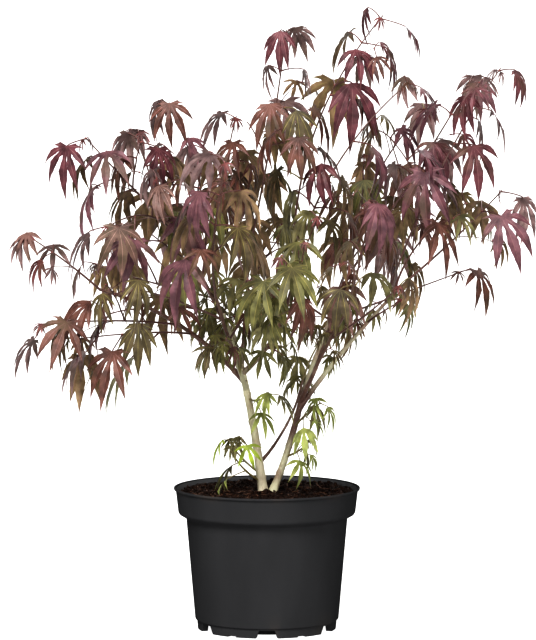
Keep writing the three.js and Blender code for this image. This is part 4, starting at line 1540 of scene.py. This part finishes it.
def add_spurs(shoots, limbs):
    """Spurs on each bough, counted with the first shoot that it bears, and the pairs of large leaves."""
    bearers = {}
    for shoot in shoots:
        bearers.setdefault(shoot.host, shoot)
    for index, (name, (count, first, last)) in enumerate(SPURS.items()):
        shoot, limb = bearers[name], limbs[name]
        draw = seeded_draws(SEED_STEP * (index + 1) + SPUR_SEED)
        for k in range(count):
            t = first + (last - first) * (k + draw()) / count
            reach = drawn(SPUR_LENGTHS, draw)
            spur = side_twig(limb, t, TWIG_TURN * k + SPUR_TURN_RANGE * draw(), reach, FINE_RADII)
            size = drawn(SPUR_LEAF_SIZES, draw)
            leaves = plan_pairs(spur, SPUR_PAIRS, TWIG_FIRST_PAIR, size, 360 * draw(), draw)
            shoot.fine_twigs.append(spur)
            shoot.spur_leaves += leaves
    named = {shoot.name: shoot for shoot in shoots}
    for index, (name, t, size, roll) in enumerate(LARGE_PAIRS):
        draw = seeded_draws(SEED_STEP * (index + 1) + PAIR_SEED)
        shoot = named[name]
        shoot.spur_leaves.append(Leaf(shoot.stem, t, roll, size, draw))
        shoot.spur_leaves.append(Leaf(shoot.stem, t, roll + 180, size, draw))


def nearest(line, point):
    """How far a point is from the nearest of a line's points."""
    return min((mark - point).length for mark in line)


def choose_leaves(shoots, limbs, stretch):
    """Keeps each leaf that hangs in its own shoot's space and touches no wood and no other leaf."""
    wood = [(None, limb) for limb in limbs.values()]
    wood += [(shoot, stem) for shoot in shoots for stem in (shoot.stem, *shoot.twigs)]
    marks = [k / PLAIN_STEPS for k in range(PLAIN_STEPS + 1)]
    trees = []
    for owner, stem in wood:
        centres = [stem.point(t) for t in marks]
        radii = [stem.radius(t) for t in marks]
        tube = BVHTree.FromPolygons(*rings_along(centres, radii, PLAIN_SIDES, stem.side))
        trees.append((owner, stem.point(0.5), stem.length / 2 + PLAIN_MARGIN, tube))
    for shoot in shoots:
        others = [other for other in shoots if other is not shoot]
        kept = []
        for leaf in shoot.leaves + shoot.new_leaves + shoot.spur_leaves:
            own = nearest(shoot.hang_line, leaf.heart) - SPACE_SLACK
            on_spur = leaf in shoot.spur_leaves
            if not on_spur and any(nearest(other.hang_line, leaf.heart) < own for other in others):
                continue
            tree = BVHTree.FromPolygons(*leaf.outline(stretch))
            near = [
                other
                for owner, middle, reach, other in trees
                if owner is not shoot and (middle - leaf.heart).length < reach + leaf.size
            ]
            if any(tree.overlap(other) for other in near):
                continue
            kept.append(leaf)
            trees.append((leaf, leaf.heart, leaf.size, tree))
        shoot.leaves = [leaf for leaf in kept if leaf not in shoot.new_leaves]
        shoot.new_leaves = [leaf for leaf in kept if leaf in shoot.new_leaves]


# Leaf blades


class Blade:
    """The points and faces of lobed blades that share one layout."""

    def __init__(self, settings, lobes, stations):
        skip = (len(LOBE_ANGLES) - lobes) // 2
        self.stations = stations
        self.angles = np.radians(LOBE_ANGLES[skip : skip + lobes])
        self.lengths = np.array(LOBE_LENGTHS[skip : skip + lobes])
        self.settings = settings
        self.lobes = lobes
        self.faces, self.kinds = self.layout()

    def layout(self):
        """Faces, and for each 0 for the upper side, 1 for the under side and 2 for a rib."""
        faces, kinds = [], []
        upper = [(c, c + 1) for c in range(5)]
        under = [(5, 7), (7, 6), (6, 0)]
        for lobe in range(self.lobes):
            start = lobe * self.points_in_lobe()
            heel_top, heel_under = start, start + 1
            tip = start + HEEL_POINTS + STATION_POINTS * (self.stations - 1)
            for j in range(self.stations):
                here = start + HEEL_POINTS + STATION_POINTS * (j - 1)
                there = here + STATION_POINTS
                if j == 0:
                    faces += [(heel_top, there + a, there + b) for a, b in upper]
                    faces += [(heel_under, there + a, there + b) for a, b in under]
                elif j == self.stations - 1:
                    faces += [(here + a, tip, here + b) for a, b in upper + under]
                else:
                    faces += [(here + a, there + a, there + b, here + b) for a, b in upper + under]
                kinds += [0, 0, 2, 0, 0] + [1, 2, 1]
        return faces, kinds

    def points_in_lobe(self):
        """Those at the heel and at each station, and one at the tip."""
        return HEEL_POINTS + STATION_POINTS * (self.stations - 1) + 1

    def shape(self, leaf, draws):
        """The points of one leaf's blade."""
        lobes = self.lobes
        size = leaf.size * self.settings.length
        heel, face, along = (np.array(v) for v in (leaf.heel, leaf.face, leaf.along))
        axes = (heel, face, along, np.cross(face, along))
        gather = STIFF_GATHER if leaf.size < STIFF_SIZE else self.settings.gather
        angles = self.angles * leaf.spread * gather + draws.normal(0, LOBE_TURN_SPREAD, lobes)
        lengths = self.lengths * draws.uniform(*LOBE_LENGTH_RANGE, lobes)
        bend = draws.normal(0, LOBE_BEND_SPREAD, lobes)
        sag = draws.normal(LOBE_SAG, LOBE_SAG_SPREAD, lobes)
        roll = draws.normal(0, LOBE_ROLL_SPREAD, lobes)
        share = np.linspace(0, 1, self.stations)
        reach = np.zeros((lobes, self.stations + 1))
        reach[:, 1:] = NOTCH_REACH + (lengths[:, None] - NOTCH_REACH) * share
        centre, ahead, beyond = self.middle_lines(leaf, size, reach, angles, bend, sag, axes)
        across, normal = self.rolled(face, ahead, roll[:, None] * beyond)
        notches = self.notch_points(leaf, size, angles, axes)
        width = self.widths(size, reach, lengths)
        rib = RIB_HALF_WIDTH * (1 - RIB_TAPER * beyond) * min(1, size / RIB_FULL_SIZE)
        thick = BLADE_THICKNESS / 2
        fold = self.settings.fold * draws.uniform(*FOLD_RANGE)
        points = np.zeros((lobes, self.points_in_lobe(), 3))
        points[:, 0] = heel + face * thick
        points[:, 1] = heel - face * thick
        points[:, -1] = centre[:, -1]
        start = draws.random() * WAVE_STARTS
        wave = WAVE_HEIGHT * np.sin(np.arange(self.stations + 1) * WAVE_STEP + start)
        for j in range(1, self.stations):
            aside, out, middle = across[:, j], normal[:, j], centre[:, j]
            wide, thin = width[:, j, None], rib[:, j, None]
            lift = wide * (fold + wave[j])
            bulge = thick + (wide * BULGE if j > 1 else 0)
            rims = (middle - aside * wide + out * lift, middle + aside * wide + out * lift)
            if j == 1:
                rims = (notches[:-1], notches[1:])
            halves = [(middle + rim) / 2 + out * bulge for rim in rims]
            ribs = (middle - aside * thin, middle + aside * thin)
            upper = [rims[0], halves[0], ribs[0] + out * thick, ribs[1] + out * thick, halves[1], rims[1]]
            deep = thick + RIB_RISE * (1 - beyond[:, j, None])
            under = [ribs[0] - out * deep, ribs[1] - out * deep]
            first = HEEL_POINTS + STATION_POINTS * (j - 1)
            points[:, first : first + STATION_POINTS] = np.stack(upper + under, axis=1)
        return points.reshape(-1, 3)

    def middle_lines(self, leaf, size, reach, angles, bend, sag, axes):
        """Points and directions along each lobe's rib, which bends under its own weight."""
        heel, face, along, left = axes
        down = np.array((0, 0, -1.0))
        weight = self.settings.weight * (STIFF_WEIGHT if leaf.size < STIFF_SIZE else 1)

        def heading(far):
            """Directions along the lobes at these shares of their reach, and how far past the notches."""
            beyond = np.clip((far - NOTCH_REACH) / (1 - NOTCH_REACH), 0, 1)
            turn = angles[:, None] + bend[:, None] * beyond
            flat = along * np.cos(turn)[..., None] + left * np.sin(turn)[..., None]
            droop = (2 * leaf.cup * far + sag[:, None] * beyond**2)[..., None]
            aim = flat * np.cos(droop) - face * np.sin(droop)
            aim = aim + down * (weight * beyond * (MIDDLE_HANG + np.abs(np.sin(turn))))[..., None]
            return aim / np.linalg.norm(aim, axis=2, keepdims=True), beyond

        half_way = (reach[:, 1:] + reach[:, :-1]) / 2
        steps = heading(half_way)[0] * np.diff(reach, axis=1)[..., None] * size
        centre = np.concatenate([np.zeros((self.lobes, 1, 3)), np.cumsum(steps, axis=1)], axis=1) + heel
        ahead, beyond = heading(reach)
        return centre, ahead, beyond

    def rolled(self, face, ahead, tilt):
        """Directions across each lobe and out of its face, turned about its rib."""
        across = np.cross(face, ahead)
        across /= np.linalg.norm(across, axis=2, keepdims=True)
        normal = np.cross(ahead, across)
        cosine, sine = np.cos(tilt)[..., None], np.sin(tilt)[..., None]
        return across * cosine + normal * sine, normal * cosine - across * sine

    def notch_points(self, leaf, size, angles, axes):
        """The bottoms of the notches between the lobes, and the two outer ends of the last lobes."""
        heel, face, along, left = axes
        outer = math.radians(LAST_NOTCH)
        between = [angles[0] - outer, *((angles[1:] + angles[:-1]) / 2), angles[-1] + outer]
        turn = np.array(between)[:, None]
        droop = leaf.cup * NOTCH_REACH
        flat = along * np.cos(turn) + left * np.sin(turn)
        return heel + (flat * math.cos(droop) - face * math.sin(droop)) * size * NOTCH_REACH

    def widths(self, size, reach, lengths):
        """Half the width of each lobe at each station, with small teeth."""
        share = reach / lengths[:, None]
        grown = min(1, NEW_LEAF_WIDTH + WIDTH_GROWTH * size / FULL_WIDTH_SIZE)
        widest = size * LOBE_HALF_WIDTH * lengths[:, None] ** LOBE_FULLNESS * grown
        foot = size * LOBE_FOOT_WIDTH
        rising = np.clip((share - NOTCH_REACH) / (BLADE_WIDEST - NOTCH_REACH), 0, 1)
        falling = np.clip((share - BLADE_WIDEST) / (1 - BLADE_WIDEST), 0, 1)
        wide = foot + (widest - foot) * rising * rising * (3 - 2 * rising)
        wide = wide * (1 - falling * falling) * (1 - falling) ** TIP_SHARPNESS
        teeth = 1 + self.settings.tooth * np.where(np.arange(reach.shape[1]) % 2, 0.5, -0.5)
        return wide * teeth


# Twigs, stalks and buds


def stalk_line(leaf, steps=7):
    """The middle line of a stalk, which leaves its twig squarely and bends over into the leaf."""
    root, heel = leaf.root, leaf.heel
    first = root + leaf.out * leaf.stalk * STALK_BOW
    last = heel - leaf.along * leaf.stalk * STALK_INTO_LEAF - leaf.out * leaf.stalk * STALK_ASIDE
    line = []
    for i in range(steps + 1):
        t = i / steps
        near = root * (1 - t) ** 3 + first * 3 * t * (1 - t) ** 2
        line.append(near + last * 3 * t * t * (1 - t) + heel * t**3)
    return line


def bud_shape():
    """The points and faces of a small pointed bud along +Z."""
    points = []
    for height, radius in BUD_RINGS:
        points += [(x, y, height) for x, y in circle(radius, BUD_SIDES)]
    points.append((0, 0, BUD_TIP))
    top = (len(BUD_RINGS) - 1) * BUD_SIDES
    faces = [tuple(reversed(range(BUD_SIDES)))]
    faces += tube_faces(len(BUD_RINGS), BUD_SIDES)
    faces += [(top + i, top + (i + 1) % BUD_SIDES, len(points) - 1) for i in range(BUD_SIDES)]
    return np.array(points), faces


def twig_wood(stem, joints, sunk):
    """A twig with a joint at each pair of leaves, a slight zigzag, and a root sunk in what bears it."""
    count = max(8, round(stem.length / TWIG_STEP))
    centres, radii = [], []
    for j in range(count + 1):
        t = j / count
        passed = sum(1 for joint in joints if joint < t)
        away = [(t - joint) * stem.length / TWIG_SWELL_LENGTH for joint in joints]
        swell = sum(math.exp(-(far**2)) for far in away) * TWIG_SWELL
        kink = TWIG_KINK * math.sin(math.pi * t * (len(joints) + 1)) * (1 if passed % 2 else -1)
        centres.append(stem.point(t) + stem.side * kink * min(1, 4 * t))
        radii.append(stem.radius(t) * WOOD_SHARE * (1 - TWIG_THINNING * t) * (1 + swell))
    if sunk:
        centres.insert(0, stem.point(0) - stem.tangent(0) * sunk)
        radii.insert(0, radii[0])
    return rings_along(centres, radii, TWIG_SIDES, stem.side)


def stalk_wood(leaf):
    """A leaf's stalk, thicker at its root."""
    thick = STALK_THICKNESS + STALK_THICKENING * leaf.size
    line = stalk_line(leaf)
    radii = [thick * (STALK_HEEL - min(i, 2) * STALK_THINNING) for i in range(len(line))]
    return rings_along(line, radii, STALK_SIDES, leaf.out.orthogonal())


def shoot_side(shoot):
    """Left or right, by the stem that the shoot's host grows on."""
    on = {name: host for name, host, *_ in LIMB_ROWS}
    host = shoot.host
    while host in on and on[host] in on:
        host = on[host]
    return "left" if host == "left_stem" else "right"


def make_shoots(settings, limbs):
    """Plans every shoot, keeps the leaves that have room, and makes the wood and the leaves."""
    shoots = [Shoot(limbs, row, index) for index, row in enumerate(SHOOT_ROWS)]
    add_spurs(shoots, limbs)
    choose_leaves(shoots, limbs, settings.length)
    make_twigs(settings, shoots)
    make_leaves(settings, shoots)


def make_twigs(settings, shoots):
    """The twigs, stalks and buds, in one piece for each half of the plant."""
    materials = [
        twig_material("twig_bark", settings.twig_bark),
        twig_material("red_stalk", settings.red_stalk),
        twig_material("green_stalk", settings.green_stalk),
        twig_material("bud_scale", settings.bud),
    ]
    heaps = defaultdict(Heap)
    owners = defaultdict(list)
    bud_points, bud_faces = bud_shape()
    for shoot in shoots:
        side = shoot_side(shoot)
        heap = heaps[side]
        owners[side].append(shoot)
        green = shoot.colour == "green"
        wood, bud = (GREEN_STALK, GREEN_STALK) if green else (TWIG_BARK, BUD_SCALE)
        every = [*shoot.leaves, *shoot.new_leaves]
        for stem in (shoot.stem, *shoot.twigs, *shoot.fine_twigs):
            held = [leaf for leaf in every if grows_on(stem, leaf)]
            if stem in shoot.fine_twigs and not held:
                continue
            joints = sorted({round(share_on(stem, leaf.root), 3) for leaf in held})
            heap.add(*twig_wood(stem, joints, SHOOT_DEPTH if stem is shoot.stem else 0), wood)
        for leaf in every:
            greenish = shoot.colour == "olive" and leaf.size % 1 > 0.5
            heap.add(*stalk_wood(leaf), GREEN_STALK if green or greenish else RED_STALK)
        first_at = {}
        for leaf in every:
            first_at.setdefault(tuple(round(x, 2) for x in leaf.root), leaf)
        for leaf in first_at.values():
            heap.add(bud_by(leaf, bud_points), bud_faces, bud)
    for side, heap in heaps.items():
        twigs = heap.piece(side + "_twigs", materials)
        settle(twigs, [shoot.name for shoot in owners[side]])


def bud_by(leaf, points):
    """The points of the bud that stands where a leaf's stalk starts."""
    aim = (leaf.out * BUD_OUTWARD + UP * BUD_UPWARD).normalized()
    turn = np.array(aim.to_track_quat("Z", "Y").to_matrix())
    size = BUD_SIZE + BUD_GROWTH * leaf.size
    return points @ turn.T * size + np.array(leaf.root + leaf.out * BUD_STEP)


def share_on(stem, point):
    """How far along a stem the point lies, from 0 to 1."""
    marks = [k / STEM_MARKS for k in range(STEM_MARKS + 1)]
    return min(marks, key=lambda t: (stem.point(t) - point).length)


def grows_on(stem, leaf):
    """Whether a leaf's stalk starts on the stem."""
    if (stem.marks[0] - leaf.root).length >= stem.length * FAR_OFF:
        return False
    return (leaf.root - stem.point(share_on(stem, leaf.root))).length < ON_STEM


# Leaves and their tints


def exposure(place):
    """How much light a place in the crown gets: 0 deep inside and low down, and 1 outside or on top."""
    out = math.hypot(place.x, place.y) / LEAFY_REACH
    high = max(0, (place.z - LEAFY_MIDDLE) / (LEAFY_TOP - LEAFY_MIDDLE))
    return min(1, OUT_SHARE * out + HIGH_SHARE * high)


def pick_tint(colour, leaf, draws):
    """The place of a leaf's tint in its mass's list: the first ones outside, the last ones in the shade."""
    share = draws.random()
    if colour != "green":
        share = 1 - exposure(leaf.heart) + draws.normal(0, TINT_SPREAD)
    elif leaf.root.z > FOOT_HEIGHT:
        share = 1 - share * HIGH_GREEN_SHARE
    else:
        # On the left side, low leaves take more of the lime tint: paler shade leaves, and painted light in
        # the crown's shadow
        share = share * LOW_GREEN_SHARE + (PALE_AND_PAINTED_LIGHT_SHIFT if leaf.root.x < 0 else 0)
    for index, (*_, part) in enumerate(TINT_SHARES[colour]):
        share -= part
        if share < 0:
            return index
    return len(TINT_SHARES[colour]) - 1


def tint_trios(colour):
    """The tint names of a mass: upper side, under side and rib of each tint, and of its new leaves."""
    new = TINT_SHARES["green" if colour == "green" else "young"][0]
    return [trio[:3] for trio in (*TINT_SHARES[colour], new)]


def named_tint(settings, name):
    """The material of one tint: red ones have an olive flush, and ribs and green ones a darker one."""
    tint = getattr(settings, name)
    plain = name.endswith("rib") or tint[1] > tint[0]
    flush = shaded(tint, PLAIN_FLUSH) if plain else settings.flush
    finish = UNDER_FINISH if name.endswith("under") else UPPER_FINISH
    return leaf_tint(name + "_leaf", tint, flush, *finish)


def make_leaves(settings, shoots):
    """The leaves, in one piece for each colour and half of the plant."""
    large, middling = (Blade(settings, lobes, BLADE_STATIONS) for lobes in (7, 5))
    small = Blade(settings, 5, SMALL_BLADE_STATIONS)
    heaps = defaultdict(Heap)
    owners = defaultdict(list)
    for shoot in shoots:
        key = (shoot.colour, shoot_side(shoot))
        owners[key].append(shoot)
        draws = np.random.default_rng(len(shoot.name) * TINT_SEED + round(shoot.stem.length))
        new_tint = len(TINT_SHARES[shoot.colour])
        for leaf in [*shoot.leaves, *shoot.new_leaves]:
            tint = new_tint if leaf in shoot.new_leaves else pick_tint(shoot.colour, leaf, draws)
            blade = large if leaf.size > LARGE_LEAF and draws.random() < LARGE_LEAF_SHARE else middling
            blade = small if leaf.size < STIFF_SIZE else blade
            marks = [tint * 3 + kind for kind in blade.kinds]
            heaps[key].add(blade.shape(leaf, draws), blade.faces, marks)
    made = {}
    for (colour, side), heap in heaps.items():
        names = [name for trio in tint_trios(colour) for name in trio]
        for name in names:
            if name not in made:
                made[name] = named_tint(settings, name)
        leaves = heap.piece(f"{side}_{colour}_leaves", [made[name] for name in names])
        welded(leaves)
        leaves.data.set_sharp_from_angle(angle=math.radians(SHARP_TURN))
        settle(leaves, [shoot.name for shoot in owners[(colour, side)]])


# Stage


def aim_light(light, azimuth, elevation):
    """Turns a sun so that it shines from that side and height, in degrees from the viewer's side."""
    turn, climb = math.radians(azimuth), math.radians(elevation)
    level = math.cos(climb)
    back = Vector((math.sin(turn) * level, -math.cos(turn) * level, math.sin(climb)))
    light.rotation_mode = "QUATERNION"
    light.rotation_quaternion = back.to_track_quat("Z", "Y")


def make_sun(name, strength, softness, azimuth, elevation):
    """A distant light, with its softness in degrees."""
    data = bpy.data.lights.new(name, "SUN")
    data.energy = strength
    data.angle = math.radians(softness)
    aim_light(placed(name, data), azimuth, elevation)


def make_floor(radius):
    """A wide round floor, just under the pot."""
    work = bmesh.new()
    bmesh.ops.create_circle(work, cap_ends=True, segments=FLOOR_SIDES, radius=radius)
    mesh = mesh_from(work, "floor")
    mesh.materials.append(floor_material())
    floor = placed("floor", mesh)
    floor.location.z = -FLOOR_DROP


def make_sky(strength):
    """White light from the horizon, and that much of it from above."""
    sky = Shader(bpy.data.worlds.new("studio"), "Background")
    way = sky.node("ShaderNodeTexCoord", {}, {}, "Generated")
    height = sky.node("ShaderNodeSeparateXYZ", {}, {0: way}, "Z")
    low, high = SKY_FADE
    fade = sky.node("ShaderNodeMapRange", {}, {"Value": height, 1: low, 2: high, 3: 1.0, 4: strength})
    bpy.context.scene.world = sky.finish(Color=(1, 1, 1), Strength=fade)


def make_camera(settings):
    """The camera that sees what the photograph shows."""
    data = bpy.data.cameras.new("camera")
    data.lens = settings.camera_lens
    data.clip_end = 4 * settings.floor_radius
    camera = placed("camera", data)
    camera.location = (0, -settings.camera_distance, settings.camera_height)
    camera.rotation_euler = (math.pi / 2 - settings.camera_tilt, 0, math.radians(CAMERA_TURN))
    bpy.context.scene.camera = camera


def make_stage(settings):
    """Floor, sky, lights and camera."""
    make_floor(settings.floor_radius)
    make_sky(settings.sky)
    make_sun("key", settings.key, *KEY_LIGHT)
    make_sun("fill", settings.fill, *FILL_LIGHT)
    make_sun("front", settings.front, *FRONT_LIGHT)
    make_sun("back", settings.back, *BACK_LIGHT)
    make_camera(settings)
    bpy.context.scene.view_settings.view_transform = "Standard"
    bpy.context.scene.view_settings.look = "Very High Contrast"


# Operators


class SHRUB_OT_stage(bpy.types.Operator):
    """Sets up the floor, the lights and the camera"""

    bl_idname = "shrub.stage"
    bl_label = "Stage"

    def execute(self, context):
        make_stage(context.scene.shrub_stage)
        return {"FINISHED"}


class SHRUB_OT_pot(bpy.types.Operator):
    """Makes the nursery pot with its collar, lip and foot ring"""

    bl_idname = "shrub.pot"
    bl_label = "Pot"

    def execute(self, context):
        make_pot(context.scene.shrub_pot)
        return {"FINISHED"}


class SHRUB_OT_mix(bpy.types.Operator):
    """Fills the pot with potting mix, crumbs and slivers of bark"""

    bl_idname = "shrub.mix"
    bl_label = "Potting mix"

    def execute(self, context):
        make_mix(context.scene.shrub_mix)
        return {"FINISHED"}


class SHRUB_OT_limbs(bpy.types.Operator):
    """Makes the two stems, the boughs and the cut stubs, with their bark"""

    bl_idname = "shrub.limbs"
    bl_label = "Stems and boughs"

    def execute(self, context):
        make_limbs(context.scene.shrub_bark, plan_limbs())
        return {"FINISHED"}


class SHRUB_OT_shoots(bpy.types.Operator):
    """Grows the twigs, stalks, buds and leaves of every shoot"""

    bl_idname = "shrub.shoots"
    bl_label = "Leafy shoots"

    def execute(self, context):
        make_shoots(context.scene.shrub_leaves, plan_limbs())
        return {"FINISHED"}


class SHRUB_PT_sidebar(bpy.types.Panel):
    """The steps of making the plant, each with its settings"""

    bl_idname = "SHRUB_PT_sidebar"
    bl_label = "Potted Shrub"
    bl_space_type = "VIEW_3D"
    bl_region_type = "UI"
    bl_category = "Shrub"

    def draw(self, context):
        for operator, group in STEPS:
            box = self.layout.box()
            box.operator(operator.bl_idname)
            settings = getattr(context.scene, group)
            for name in settings.bl_rna.properties.keys():
                if name not in ("rna_type", "name"):
                    box.prop(settings, name)


STEPS = [
    (SHRUB_OT_stage, "shrub_stage"),
    (SHRUB_OT_pot, "shrub_pot"),
    (SHRUB_OT_mix, "shrub_mix"),
    (SHRUB_OT_limbs, "shrub_bark"),
    (SHRUB_OT_shoots, "shrub_leaves"),
]
GROUPS = {
    "shrub_stage": StageSettings,
    "shrub_pot": PotSettings,
    "shrub_mix": MixSettings,
    "shrub_bark": BarkSettings,
    "shrub_leaves": LeafSettings,
}
CLASSES = [*GROUPS.values(), *(operator for operator, _ in STEPS), SHRUB_PT_sidebar]


def register():
    for made in CLASSES:
        bpy.utils.register_class(made)
    for name, group in GROUPS.items():
        setattr(bpy.types.Scene, name, PointerProperty(type=group))


def unregister():
    for name in GROUPS:
        delattr(bpy.types.Scene, name)
    for made in reversed(CLASSES):
        bpy.utils.unregister_class(made)


def main():
    register()
    bpy.ops.shrub.stage()
    bpy.ops.shrub.pot()
    bpy.ops.shrub.mix()
    bpy.ops.shrub.limbs()
    bpy.ops.shrub.shoots()


if __name__ == "__main__":
    main()
